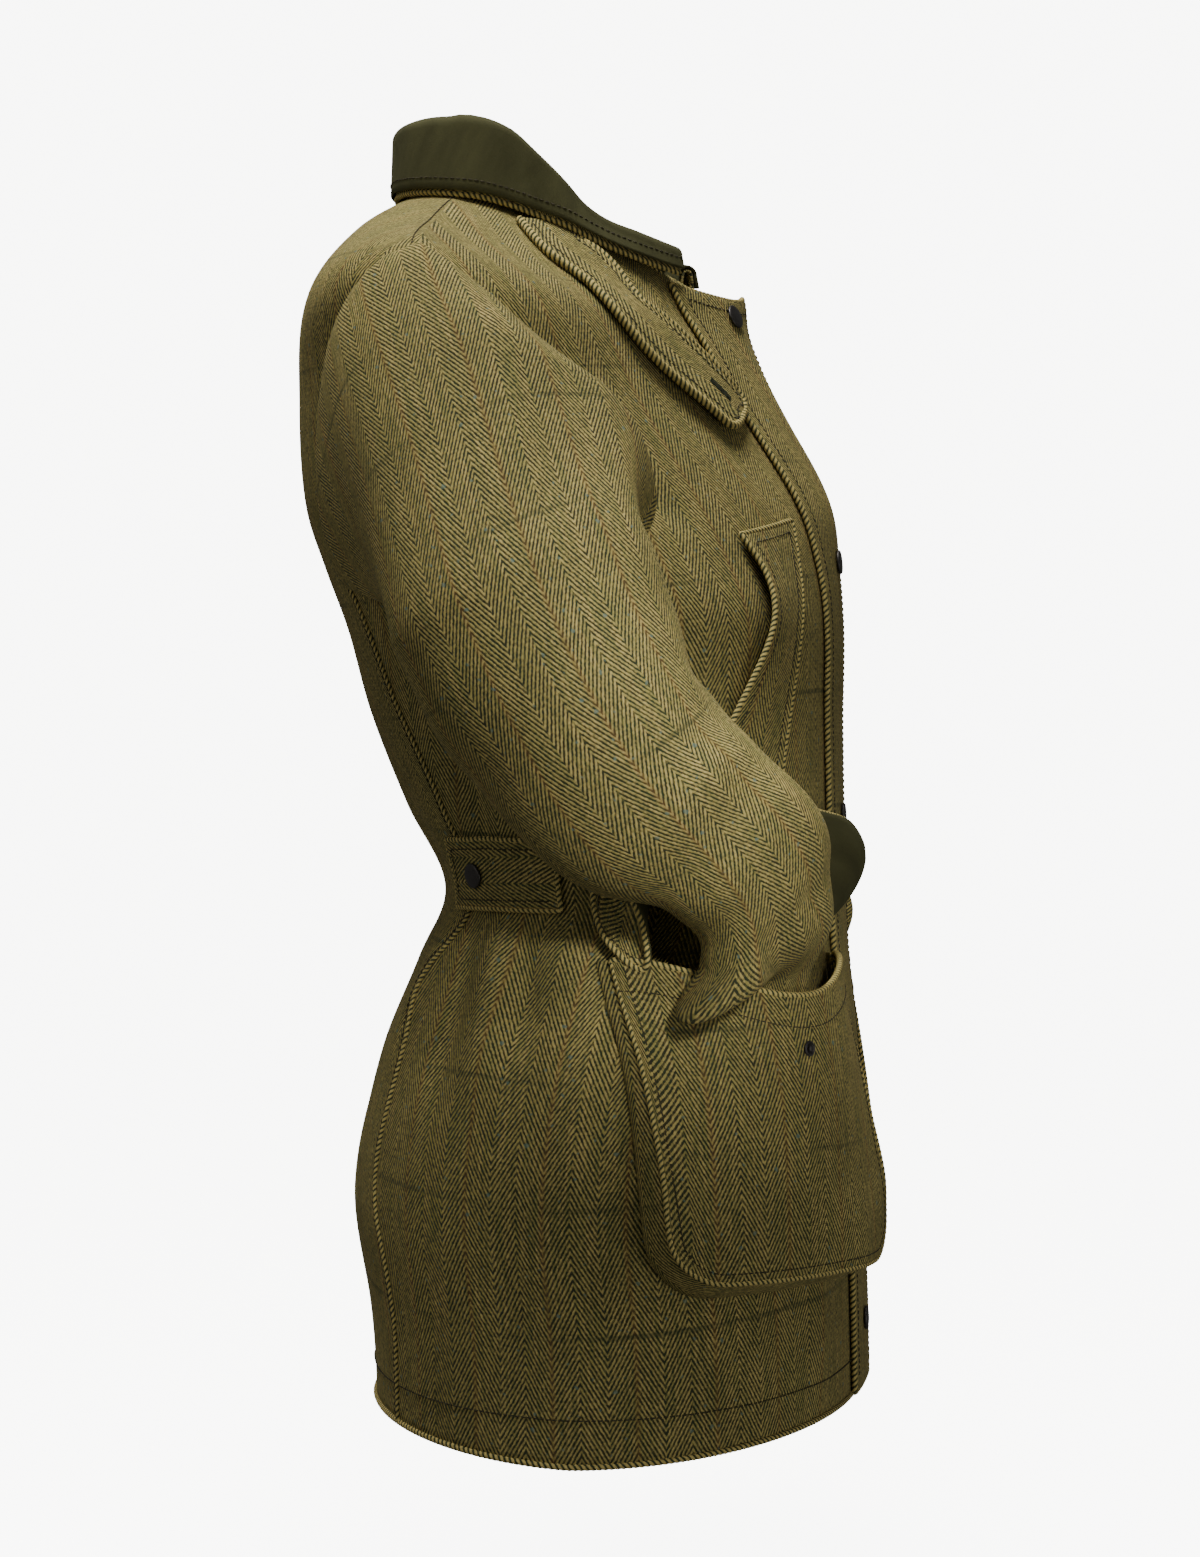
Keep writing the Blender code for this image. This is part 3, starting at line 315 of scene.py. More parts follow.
# Share along the flap, its tip's height above (or below) the sewn edge, how far out the middle and the
# tip of its depth stand, and how far back the tip leans
POCKET_FLAP = [
    (0.0, -50, 5.0, 8.0, 0),
    (0.1, -54, 8.0, 13.0, 0),
    (0.17, -32, 14.0, 25.0, 10),
    (0.24, -4, 20.0, 34.0, 24),
    (0.33, 20, 20.0, 31.0, 20),
    (0.44, 38, 16.0, 20.0, 9),
    (0.6, 52, 9.0, 12.0, 0),
    (0.8, 54, 11.0, 15.0, 0),
    (1.0, 54, 20.0, 18.0, 0),
]
FLAP_CORNER = 20.0
FLAP_LEAST_RISE = 30.0   # a flap that turns up is no shorter than this where its corners are cut
FLAP_FLAT = 4.0
FLAP_REST = 2.7
POCKET_FLAP_STITCH = 6.0

# Throat tab: angle and level along its middle, and how far it stands from the chest
THROAT_TAB = [
    (66, 21, 0.0), (58, 4, 0.0), (47, -16, 1.0), (36.5, -66, 2.5), (29, -104, 5.0), (24, -125, 4.0),
]
THROAT_STEPS = 61
THROAT_ROWS = 17
THROAT_TAB_WIDTH = 37.0
THROAT_CORNER = 12.0
THROAT_REST = 1.0
THROAT_STITCH = 6.0
THROAT_ROLL = 0.0048
BUTTONHOLE_END = 13.0
BUTTONHOLE_LENGTH = 17.0
BUTTONHOLE_STITCHES = 19
BUTTONHOLE_START = 0.3
BUTTONHOLE_REACH = 2.2
SLIT_PROUD = 0.1
SLIT_RADIUS = 0.55

# Waist tab
WAIST_TAB_FRONT_ARC = 254.0
WAIST_TAB_BACK_ARC = 337.0
WAIST_TAB_LEVEL = -384.0
WAIST_TAB_HEIGHT = 40.0
WAIST_TAB_ROWS = 21
WAIST_TAB_POINTS = 43
WAIST_STUD_ARC = 311.0
WAIST_REST = 1.3
WAIST_STITCH = 5.0

# Camera and studio
PHOTO_SIZE = (1200, 1557)
CAMERA_TARGET = (0.0, -0.035, -0.330)
CAMERA_AZIMUTH = -82.0
CAMERA_DISTANCE = 2.0
FOCAL_PIXELS = 3300.0
SENSOR = 36.0


def linear(code):
    """Linear colour of an sRGB hex value."""
    parts = [int(code[k:k + 2], 16) / 255 for k in (1, 3, 5)]
    return tuple(c / 12.92 if c <= 0.04045 else ((c + 0.055) / 1.055) ** 2.4 for c in parts)


def metres(name, description, default):
    """A size that a user can change."""
    return FloatProperty(name=name, description=description, default=default, unit="LENGTH")


def tint(name, description, code):
    """A colour that a user can change."""
    return FloatVectorProperty(name=name, description=description, default=linear(code), subtype="COLOR",
                               min=0, max=1)


class JacketSizes(bpy.types.PropertyGroup):
    """Sizes of the cloth, its weave and its sewing"""
    cloth: metres("Cloth", "Thickness of one layer of tweed with its lining", 0.0022)
    double_cloth: metres("Double cloth", "Thickness of two layers sewn together", 0.0030)
    moleskin: metres("Moleskin", "Thickness of the collar's moleskin", 0.0016)
    flap_tweed: metres("Flap tweed", "Thickness of a pocket flap's tweed", 0.0018)
    flap_lining: metres("Flap lining", "Thickness of a pocket flap's moleskin", 0.0012)
    gusset: metres("Gusset", "Thickness of a bellows pocket's gusset", 0.0015)
    zip_tape: metres("Zip tape", "Thickness of the zip's tapes", 0.0010)
    column: metres("Herringbone column", "Width of one column of the herringbone", 0.0155)
    twill_across: metres("Twill pitch across", "Twill lines, spaced across the warp", 0.0025)
    twill_along: metres("Twill pitch along", "Twill lines, spaced along the warp", 0.0043)
    edge_roll: metres("Turned edge", "Thickness of a turned and pressed edge", 0.0034)
    stitch: metres("Stitch", "Pitch of the topstitching", 0.0036)
    thread: metres("Thread", "Thickness of the sewing thread", 0.0008)
    tooth: metres("Zip tooth", "Pitch of the zip's teeth", 0.0036)
    check_across: metres("Overcheck across", "Spacing of the rust overcheck threads", 0.0465)
    check_along: metres("Overcheck along", "Spacing of the dark overcheck threads", 0.069)


class JacketColours(bpy.types.PropertyGroup):
    """Colours of the yarns, moleskin, thread and metal"""
    straw: tint("Straw yarn", "Lightest yarn of the tweed", "#b6a362")
    gold: tint("Gold yarn", "Warmer light yarn of the tweed", "#958a4d")
    moss: tint("Moss yarn", "Dark green yarn of the tweed", "#2b3421")
    peat: tint("Peat yarn", "Dark brown yarn of the tweed", "#353320")
    rust: tint("Rust yarn", "Overcheck thread along the warp", "#7d5a30")
    teal: tint("Teal nub", "Small coloured nubs in the yarn", "#5b7064")
    olive: tint("Olive moleskin", "Collar and flap linings", "#45442a")
    thread: tint("Sewing thread", "Topstitching and zip tapes", "#37321c")
    metal: tint("Gunmetal", "Press studs and zip slider", "#4a4744")
    lining: tint("Lining", "Satin inside the body and sleeves", "#3a3826")
    plastic: tint("Zip plastic", "Zip teeth", "#232320")


# Curves and tables

def hermite(s, start, end, leaving, landing):
    """A share of the way along a curve with given ends and given ways of leaving and landing."""
    return ((2 * s**3 - 3 * s**2 + 1) * start + (s**3 - 2 * s**2 + s) * leaving
            + (3 * s**2 - 2 * s**3) * end + (s**3 - s**2) * landing)


def smooth(xs, ys, x):
    """Smooth curve through the rows of a table whose xs rise."""
    x = np.clip(np.asarray(x, float), xs[0], xs[-1])
    slope = np.diff(ys) / np.diff(xs)
    tangent = np.concatenate([slope[:1], (slope[:-1] + slope[1:]) / 2, slope[-1:]])
    i = np.clip(np.searchsorted(xs, x, side="right") - 1, 0, len(xs) - 2)
    step = xs[i + 1] - xs[i]
    return hermite((x - xs[i]) / step, ys[i], ys[i + 1], step * tangent[i], step * tangent[i + 1])


def bent(s, start, middle, end):
    """A share of the way along a curve through three places."""
    return start * (1 - s) * (1 - 2 * s) + middle * 4 * s * (1 - s) + end * s * (2 * s - 1)


def ease(share):
    """A soft step from 0 to 1."""
    share = np.clip(share, 0.0, 1.0)
    return share**2 * (3 - 2 * share)


def finer(values, steps):
    """The values of a list with more steps between them."""
    places = np.linspace(0, len(values) - 1, (len(values) - 1) * steps + 1)
    return np.interp(places, np.arange(len(values)), np.array(values, float))


def curves(rows, x):
    """Smooth curves through the columns of a table, over its first column."""
    keys, *columns = np.array(rows, float).T
    return [smooth(keys, values, x) for values in columns]


def row_curves(rows, x):
    """Smooth curves through the columns of a table, over the numbers of its rows."""
    return [smooth(np.arange(len(rows)), values, x) for values in np.array(rows, float).T]


# Form of the body

def bare_form(angle, level):
    """Points of the body without its folds."""
    angle, level = np.broadcast_arrays(np.asarray(angle, float), np.asarray(level, float))
    cosine = np.cos(np.radians(angle))
    sine = np.sin(np.radians(angle))
    front = cosine > 0
    (z_back, z_side, z_front, y_back, y_mid, y_front, half_width, back_power,
     front_power) = curves(RINGS, level)
    power = np.where(front, front_power, back_power)
    reach = np.where(front, y_front, y_back) - y_mid
    drop = np.where(front, z_front, z_back) - z_side
    x = -np.sign(sine) * half_width * np.abs(sine) ** (2 / power)
    y = y_mid + reach * np.abs(cosine) ** (2 / power)
    z = z_side + drop * np.abs(cosine) ** FRONT_DROP_POWER
    return np.stack([x, y, z], -1)


def form_normal(angle, level):
    """Unit vectors out of the body."""
    turn = 1.0
    rise = 1.5
    low = np.clip(np.asarray(level, float) - rise, HEM_LEVEL, NECK_LEVEL)
    high = np.clip(np.asarray(level, float) + rise, HEM_LEVEL, NECK_LEVEL)
    angle = np.asarray(angle, float)
    around = bare_form(angle + turn, level) - bare_form(angle - turn, level)
    up = bare_form(angle, high) - bare_form(angle, low)
    normal = np.cross(up, around)
    return normal / np.linalg.norm(normal, axis=-1, keepdims=True)


def fold_height(angle, level):
    """Height of the soft folds at a place on the body."""
    side_angle = np.abs((np.asarray(angle, float) + 180) % 360 - 180)
    total = np.zeros(np.broadcast(side_angle, level).shape)
    for top_angle, low_angle, top_level, low_level, spread, height in FOLDS:
        along = np.clip((top_level - np.asarray(level, float)) / (top_level - low_level), 0, 1)
        middle = top_angle + (low_angle - top_angle) * along
        swell = np.sin(math.pi * along) * np.exp(-(((side_angle - middle) / spread) ** 2))
        total = total + height * swell
    return total


def form(angle, level, out=0.0):
    """Points on the cloth of the body, moved out from its face."""
    lift = np.asarray(out, float) + fold_height(angle, level)
    return bare_form(angle, level) + form_normal(angle, level) * lift[..., None]


# Distances round and up the body, on a grid that is read between its lines
GRID_ANGLES = np.arange(-60.0, 361.0, 1.0)
GRID_LEVELS = np.linspace(HEM_LEVEL, NECK_LEVEL, 147)
GRID_FORM = bare_form(GRID_ANGLES[None, :], GRID_LEVELS[:, None])
GRID_ARC = np.linalg.norm(np.diff(GRID_FORM, axis=1), axis=2)
GRID_ARC = np.pad(np.cumsum(GRID_ARC, axis=1), ((0, 0), (1, 0)))
GRID_ARC -= GRID_ARC[:, GRID_ANGLES == 0]
GRID_RISE = np.linalg.norm(np.diff(GRID_FORM, axis=0), axis=2)
GRID_RISE = np.pad(np.cumsum(GRID_RISE, axis=0), ((1, 0), (0, 0)))


def grid_place(lines, value):
    """Line of the grid below a value, and the share of the way to the next."""
    place = np.interp(value, lines, np.arange(len(lines)))
    low = np.minimum(place.astype(int), len(lines) - 2)
    return low, place - low


def grid_value(values, angle, level):
    """A grid read at angles and levels."""
    angle, level = np.broadcast_arrays(np.asarray(angle, float), np.asarray(level, float))
    low, share = grid_place(GRID_LEVELS, level)
    left, part = grid_place(GRID_ANGLES, angle)
    below = values[low, left] * (1 - part) + values[low, left + 1] * part
    above = values[low + 1, left] * (1 - part) + values[low + 1, left + 1] * part
    return below * (1 - share) + above * share


def angles_at_arcs(levels, arcs):
    """Angles reached by going a distance round the body from the centre front."""
    levels, arcs = np.broadcast_arrays(np.asarray(levels, float), np.asarray(arcs, float))
    low, share = grid_place(GRID_LEVELS, levels)
    angles = np.empty(levels.shape)
    for k in np.unique(low):
        here = low == k
        below = np.interp(arcs[here], GRID_ARC[k], GRID_ANGLES)
        above = np.interp(arcs[here], GRID_ARC[k + 1], GRID_ANGLES)
        angles[here] = below + (above - below) * share[here]
    return angles


def angle_at_arc(level, arc):
    return float(angles_at_arcs(level, arc))


GRAIN_ANGLE = 110.0      # below the waist the warp of a front runs down the body here
GRAIN_LEVEL = -400.0


def front_weave(angle, level):
    """Place in the weave of a front: the distance across the warp and the distance along it."""
    grain = grid_value(GRID_ARC, GRAIN_ANGLE, np.minimum(level, GRAIN_LEVEL))
    across = grid_value(GRID_ARC, angle, level) - grain
    return np.stack([across, grid_value(GRID_RISE, angle, level)], -1)


def back_weave(angle, level):
    """Place in the weave of the back, measured from its middle."""
    across = grid_value(GRID_ARC, angle, level) - grid_value(GRID_ARC, 180.0, level)
    return np.stack([across, grid_value(GRID_RISE, angle, level)], -1)


def turn_by_degree(angle, level):
    """The step along the body that one degree makes."""
    return bare_form(angle + 0.5, level) - bare_form(angle - 0.5, level)


def degrees_of(distance, angle, level):
    """Degrees round the body that a distance makes."""
    return distance / np.linalg.norm(turn_by_degree(angle, level), axis=-1)


def closed_curve(points):
    """Many steps along a smooth closed curve through the points."""
    points = np.asarray(points, float)
    s = np.linspace(0, 1, FINE_PER_ROW, endpoint=False)[:, None]
    fine = []
    for i in range(len(points)):
        before, start, end, after = (points[(i + k) % len(points)] for k in (-1, 0, 1, 2))
        fine.append(hermite(s, start, end, (end - before) / 2, (after - start) / 2))
    return np.concatenate(fine)


ARMHOLE_FINE = closed_curve(ARMHOLE)
LOWEST_ROW = ARMHOLE_LOW_CORNER * FINE_PER_ROW
CORNER_ROW = ARMHOLE_BACK_CORNER * FINE_PER_ROW


def armhole_front_angle(level):
    branch = ARMHOLE_FINE[:LOWEST_ROW + 1][::-1]
    return np.interp(level, np.maximum.accumulate(branch[:, 1]), branch[:, 0])


def armhole_low_level(angle):
    branch = ARMHOLE_FINE[LOWEST_ROW:CORNER_ROW + 1]
    return np.interp(angle, branch[:, 0], branch[:, 1])


def armhole_back_angle(level):
    branch = np.concatenate([ARMHOLE_FINE[CORNER_ROW:], ARMHOLE_FINE[:1]])
    return np.interp(level, np.maximum.accumulate(branch[:, 1]), branch[:, 0])


def back_seam_angle(level):
    return curves(BACK_SEAM, level)[0]


# Materials

WEAVE_MAP = "weave"      # UV map with the place in the weave, in millimetres


def set_sockets(tree, node, inputs):
    """Set a node's sockets to numbers and colours, or link them."""
    for place, value in inputs.items():
        if isinstance(value, bpy.types.NodeSocket):
            tree.links.new(value, node.inputs[place])
        else:
            node.inputs[place].default_value = value


def add_node(tree, kind, inputs=None, **settings):
    """Add a shader node, set its properties, set or link its sockets, and give its outputs."""
    node = tree.nodes.new("ShaderNode" + kind)
    for name, value in settings.items():
        setattr(node, name, value)
    set_sockets(tree, node, inputs or {})
    return node.outputs


def new_material(name):
    """An empty node material with a Principled shader, and its tree and shader."""
    material = bpy.data.materials.new(name)
    material.use_nodes = True
    return material, material.node_tree, material.node_tree.nodes["Principled BSDF"]


def four(colour):
    return (*colour[:3], 1.0)


def wool_tweed(scene):
    """Woven wool tweed: light and dark yarns lie in herringbone twill lines with a faint overcheck; the
    nap scatters light, so it is rough with a soft sheen and no gloss."""
    colours = scene.jacket_colours
    sizes = scene.jacket_sizes
    material, tree, shader = new_material("wool_tweed_herringbone")
    place = add_node(tree, "UVMap", uv_map=WEAVE_MAP)["UV"]
    across, along = add_node(tree, "SeparateXYZ", {0: place})[:2]
    # Slubs of 3 mm and clouds of 90 mm break the weave up
    slub = add_node(tree, "TexNoise", {"Vector": place, "Scale": 0.33, "Detail": 3.0})[0]
    cloud = add_node(tree, "TexNoise", {"Vector": place, "Scale": 0.011, "Detail": 2.0})[0]
    zigzag = add_node(tree, "Math", {0: across, 1: sizes.column / MM}, operation="PINGPONG")[0]
    step_across = add_node(tree, "Math", {0: zigzag, 1: sizes.twill_across / MM}, operation="DIVIDE")[0]
    step_along = add_node(tree, "Math", {0: along, 1: sizes.twill_along / MM}, operation="DIVIDE")[0]
    steps = add_node(tree, "Math", {0: step_across, 1: step_along}, operation="ADD")[0]
    phase = add_node(tree, "Math", {0: slub, 1: 0.45, 2: steps}, operation="MULTIPLY_ADD")[0]
    turns = add_node(tree, "Math", {0: phase, 1: 2 * math.pi}, operation="MULTIPLY")[0]
    wave = add_node(tree, "Math", {0: turns}, operation="SINE")[0]
    line = add_node(tree, "MapRange", {0: wave, 1: -0.55, 2: 0.6}, interpolation_type="SMOOTHSTEP")[0]
    # Each twill line is a row of short floats; their real 1 mm pitch is drawn at 2 mm so that it shows
    float_turns = add_node(tree, "Math", {0: along, 1: math.pi}, operation="MULTIPLY")[0]
    float_wave = add_node(tree, "Math", {0: float_turns}, operation="SINE")[0]
    float_line = add_node(tree, "MapRange", {0: float_wave, 1: -1.0, 2: 1.0, 3: 0.78, 4: 1.0})[0]
    floats = add_node(tree, "Math", {0: line, 1: float_line}, operation="MULTIPLY")[0]
    # Each crossing takes the dye a little differently; drawn in cells of 1.25 by 1.45 mm so that it shows
    cells = add_node(tree, "Mapping", {"Vector": place, "Scale": (0.8, 0.69, 1.0)})[0]
    whole = add_node(tree, "VectorMath", {0: cells}, operation="FLOOR")[0]
    cell = add_node(tree, "TexWhiteNoise", {"Vector": whole}, noise_dimensions="2D")[0]
    spread = add_node(tree, "MapRange", {0: cell, 3: -0.26, 4: 0.26})[0]
    lit = add_node(tree, "Math", {0: floats, 1: spread}, operation="ADD", use_clamp=True)[0]
    stretch = add_node(tree, "Mapping", {"Vector": place, "Scale": (0.5, 0.02, 1.0)})[0]
    yarn = add_node(tree, "TexNoise", {"Vector": stretch, "Scale": 1.0, "Detail": 2.0})[0]
    yarn_share = add_node(tree, "MapRange", {0: yarn, 1: 0.35, 2: 0.65})[0]
    light = add_node(tree, "Mix", {0: yarn_share, 6: four(colours.gold), 7: four(colours.straw)},
                     data_type="RGBA")[2]
    dark = add_node(tree, "Mix", {0: yarn_share, 6: four(colours.moss), 7: four(colours.peat)},
                    data_type="RGBA")[2]
    twill = add_node(tree, "Mix", {0: lit, 6: dark, 7: light}, data_type="RGBA")[2]
    warp_gap = add_node(tree, "Math", {0: across, 1: sizes.check_across / MM / 2},
                        operation="PINGPONG")[0]
    warp_check = add_node(tree, "MapRange", {0: warp_gap, 1: 0.8, 2: 2.0, 3: 0.28, 4: 0.0})[0]
    rusty = add_node(tree, "Mix", {0: warp_check, 6: twill, 7: four(colours.rust)}, data_type="RGBA")[2]
    weft_gap = add_node(tree, "Math", {0: along, 1: sizes.check_along / MM / 2}, operation="PINGPONG")[0]
    weft_line = add_node(tree, "MapRange", {0: weft_gap, 1: 0.9, 2: 1.8, 3: 1.0, 4: 0.0})[0]
    # The dark weft comes and goes over 120 mm
    patches = add_node(tree, "TexNoise", {"Vector": place, "Scale": 0.0083, "Detail": 1.0})[0]
    patch = add_node(tree, "MapRange", {0: patches, 1: 0.42, 2: 0.62, 3: 0.0, 4: 0.5})[0]
    weft_check = add_node(tree, "Math", {0: weft_line, 1: patch}, operation="MULTIPLY")[0]
    checked = add_node(tree, "Mix", {0: weft_check, 6: rusty, 7: four(colours.moss)}, data_type="RGBA")[2]
    nub = add_node(tree, "TexNoise", {"Vector": place, "Scale": 0.24, "Detail": 0.0})[0]
    nub_share = add_node(tree, "MapRange", {0: nub, 1: 0.76, 2: 0.82, 3: 0.0, 4: 0.7})[0]
    nubby = add_node(tree, "Mix", {0: nub_share, 6: checked, 7: four(colours.teal)}, data_type="RGBA")[2]
    shade = add_node(tree, "MapRange", {0: cloud, 1: 0.3, 2: 0.7, 3: 0.88, 4: 1.08})[0]
    worn = add_node(tree, "VectorMath", {0: nubby, 3: shade}, operation="SCALE")[0]
    height = add_node(tree, "Math", {0: slub, 1: 0.6, 2: lit}, operation="MULTIPLY_ADD")[0]
    bump = add_node(tree, "Bump", {"Height": height, "Distance": 0.0006, "Strength": 0.7})
    set_sockets(tree, shader, {
        "Base Color": worn, "Normal": bump[0], "Roughness": 0.92, "Specular IOR Level": 0.2,
        "Sheen Weight": 0.12, "Sheen Roughness": 0.5, "Sheen Tint": four(colours.straw),
    })
    return material


def brushed_moleskin(scene):
    """Brushed cotton moleskin: a dense short nap with no visible weave, so its colour is even, stroked
    darker and lighter in patches, with a suede-like sheen at the edges."""
    colours = scene.jacket_colours
    material, tree, shader = new_material("brushed_cotton_moleskin")
    place = add_node(tree, "UVMap", uv_map=WEAVE_MAP)["UV"]
    nap = add_node(tree, "TexNoise", {"Vector": place, "Scale": 0.9, "Detail": 4.0})[0]
    strokes = add_node(tree, "Mapping", {"Vector": place, "Scale": (0.02, 0.06, 1.0)})[0]
    stroke = add_node(tree, "TexNoise", {"Vector": strokes, "Scale": 1.0, "Detail": 3.0})[0]
    both = add_node(tree, "Math", {0: nap, 1: 0.35, 2: stroke}, operation="MULTIPLY_ADD")[0]
    shade = add_node(tree, "MapRange", {0: both, 1: 0.4, 2: 0.95, 3: 0.72, 4: 1.2})[0]
    stroked = add_node(tree, "VectorMath", {0: tuple(colours.olive), 3: shade}, operation="SCALE")[0]
    bump = add_node(tree, "Bump", {"Height": nap, "Distance": 0.0003, "Strength": 0.5})
    set_sockets(tree, shader, {
        "Base Color": stroked, "Normal": bump[0], "Roughness": 0.95, "Specular IOR Level": 0.15,
        "Sheen Weight": 0.3, "Sheen Roughness": 0.4, "Sheen Tint": four(colours.olive),
    })
    return material


def turned_tweed_edge(scene):
    """Tweed turned over at an edge and pressed: the twill lines cross the narrow roll, so that it looks
    like a two-strand rope of light and dark yarn."""
    colours = scene.jacket_colours
    material, tree, shader = new_material("turned_tweed_edge")
    place = add_node(tree, "UVMap", uv_map=WEAVE_MAP)["UV"]
    across, along = add_node(tree, "SeparateXYZ", {0: place})[:2]
    fuzz = add_node(tree, "TexNoise", {"Vector": place, "Scale": 1.7, "Detail": 3.0})[0]
    strand = add_node(tree, "Math", {0: across, 1: along}, operation="SUBTRACT")[0]
    phase = add_node(tree, "Math", {0: fuzz, 1: 0.35, 2: strand}, operation="MULTIPLY_ADD")[0]
    turns = add_node(tree, "Math", {0: phase, 1: 2 * math.pi}, operation="MULTIPLY")[0]
    wave = add_node(tree, "Math", {0: turns}, operation="SINE")[0]
    share = add_node(tree, "MapRange", {0: wave, 1: -0.8, 2: 0.5})[0]
    striped = add_node(tree, "Mix", {0: share, 6: four(colours.moss), 7: four(colours.straw)},
                       data_type="RGBA")[2]
    bump = add_node(tree, "Bump", {"Height": fuzz, "Distance": 0.0004, "Strength": 0.6})
    set_sockets(tree, shader, {
        "Base Color": striped, "Normal": bump[0], "Roughness": 0.92, "Specular IOR Level": 0.2,
    })
    return material


def spun_polyester(name, colour):
    """Spun polyester sewing thread: matt, with a twist of plies that shows as faint slanted bands."""
    material, tree, shader = new_material(name)
    place = add_node(tree, "UVMap", uv_map=WEAVE_MAP)["UV"]
    ply = add_node(tree, "TexWave", {"Vector": place, "Scale": 0.9, "Distortion": 1.0},
                   bands_direction="DIAGONAL")[1]
    shade = add_node(tree, "MapRange", {0: ply, 3: 0.75, 4: 1.2})[0]
    plied = add_node(tree, "VectorMath", {0: tuple(colour), 3: shade}, operation="SCALE")[0]
    bump = add_node(tree, "Bump", {"Height": ply, "Distance": 0.0001, "Strength": 0.6})
    set_sockets(tree, shader, {
        "Base Color": plied, "Normal": bump[0], "Roughness": 0.75, "Specular IOR Level": 0.3,
    })
    return material


def sewing_thread(scene):
    return spun_polyester("spun_polyester_thread", scene.jacket_colours.thread)


def buttonhole_twist(scene):
    return spun_polyester("moss_buttonhole_twist", scene.jacket_colours.moss)


def blackened_brass(scene):
    """Blackened brass stud caps: a thin dark plating with a dull shine, scuffed a little on the crown."""
    colours = scene.jacket_colours
    material, tree, shader = new_material("blackened_brass")
    place = add_node(tree, "TexCoord")["Object"]
    # Scuffs of about 1 mm
    scuff = add_node(tree, "TexNoise", {"Vector": place, "Scale": 900.0, "Detail": 4.0})[0]
    shade = add_node(tree, "MapRange", {0: scuff, 1: 0.3, 2: 0.75, 3: 0.8, 4: 1.35})[0]
    plated = add_node(tree, "VectorMath", {0: tuple(colours.metal), 3: shade}, operation="SCALE")[0]
    rough = add_node(tree, "MapRange", {0: scuff, 1: 0.3, 2: 0.7, 3: 0.42, 4: 0.6})[0]
    set_sockets(tree, shader, {"Base Color": plated, "Roughness": rough, "Metallic": 1.0})
    return material


def moulded_acetal(scene):
    """Moulded acetal zip teeth: an even dark plastic with a low, slightly orange-peel gloss."""
    colours = scene.jacket_colours
    material, tree, shader = new_material("moulded_acetal")
    place = add_node(tree, "TexCoord")["Object"]
    # Mould texture of about 1.5 mm
    peel = add_node(tree, "TexNoise", {"Vector": place, "Scale": 650.0, "Detail": 2.0})[0]
    shade = add_node(tree, "MapRange", {0: peel, 1: 0.3, 2: 0.7, 3: 0.85, 4: 1.2})[0]
    tinted = add_node(tree, "VectorMath", {0: tuple(colours.plastic), 3: shade}, operation="SCALE")[0]
    rough = add_node(tree, "MapRange", {0: peel, 3: 0.38, 4: 0.55})[0]
    set_sockets(tree, shader, {"Base Color": tinted, "Roughness": rough, "IOR": 1.48})
    return material


def woven_zip_tape(scene):
    """Woven polyester zip tape: fine ribs along its length, drawn at 1.4 mm so that they show."""
    colours = scene.jacket_colours
    material, tree, shader = new_material("woven_polyester_tape")
    place = add_node(tree, "UVMap", uv_map=WEAVE_MAP)["UV"]
    across = add_node(tree, "SeparateXYZ", {0: place})[0]
    turns = add_node(tree, "Math", {0: across, 1: 2 * math.pi / 1.4}, operation="MULTIPLY")[0]
    rib = add_node(tree, "Math", {0: turns}, operation="SINE")[0]
    shade = add_node(tree, "MapRange", {0: rib, 1: -1.0, 2: 1.0, 3: 0.75, 4: 1.25})[0]
    ribbed = add_node(tree, "VectorMath", {0: tuple(colours.thread), 3: shade}, operation="SCALE")[0]
    bump = add_node(tree, "Bump", {"Height": rib, "Distance": 0.0002, "Strength": 0.6})
    set_sockets(tree, shader, {"Base Color": ribbed, "Normal": bump[0], "Roughness": 0.8})
    return material


def satin_lining(scene):
    """Viscose satin lining: a smooth dark cloth with a low sheen and faint warp streaks."""
    colours = scene.jacket_colours
    material, tree, shader = new_material("viscose_satin_lining")
    place = add_node(tree, "UVMap", uv_map=WEAVE_MAP)["UV"]
    streaks = add_node(tree, "Mapping", {"Vector": place, "Scale": (0.7, 0.03, 1.0)})[0]
    streak = add_node(tree, "TexNoise", {"Vector": streaks, "Scale": 1.0, "Detail": 2.0})[0]
    shade = add_node(tree, "MapRange", {0: streak, 1: 0.3, 2: 0.7, 3: 0.8, 4: 1.25})[0]
    streaked = add_node(tree, "VectorMath", {0: tuple(colours.lining), 3: shade}, operation="SCALE")[0]
    rough = add_node(tree, "MapRange", {0: streak, 3: 0.42, 4: 0.58})[0]
    set_sockets(tree, shader, {"Base Color": streaked, "Roughness": rough, "Sheen Weight": 0.2})
    return material


FINISHES = {
    "tweed": wool_tweed, "moleskin": brushed_moleskin, "edge": turned_tweed_edge, "thread": sewing_thread,
    "twist": buttonhole_twist, "gunmetal": blackened_brass, "zip_plastic": moulded_acetal,
    "tape": woven_zip_tape, "lining": satin_lining,
}


def finish(context, look):
    """The material of a finish, made the first time that it is asked for."""
    made = context.scene.get("jacket_" + look)
    if made is None:
        made = FINISHES[look](context.scene)
        context.scene["jacket_" + look] = made
    return made


# Making cloth

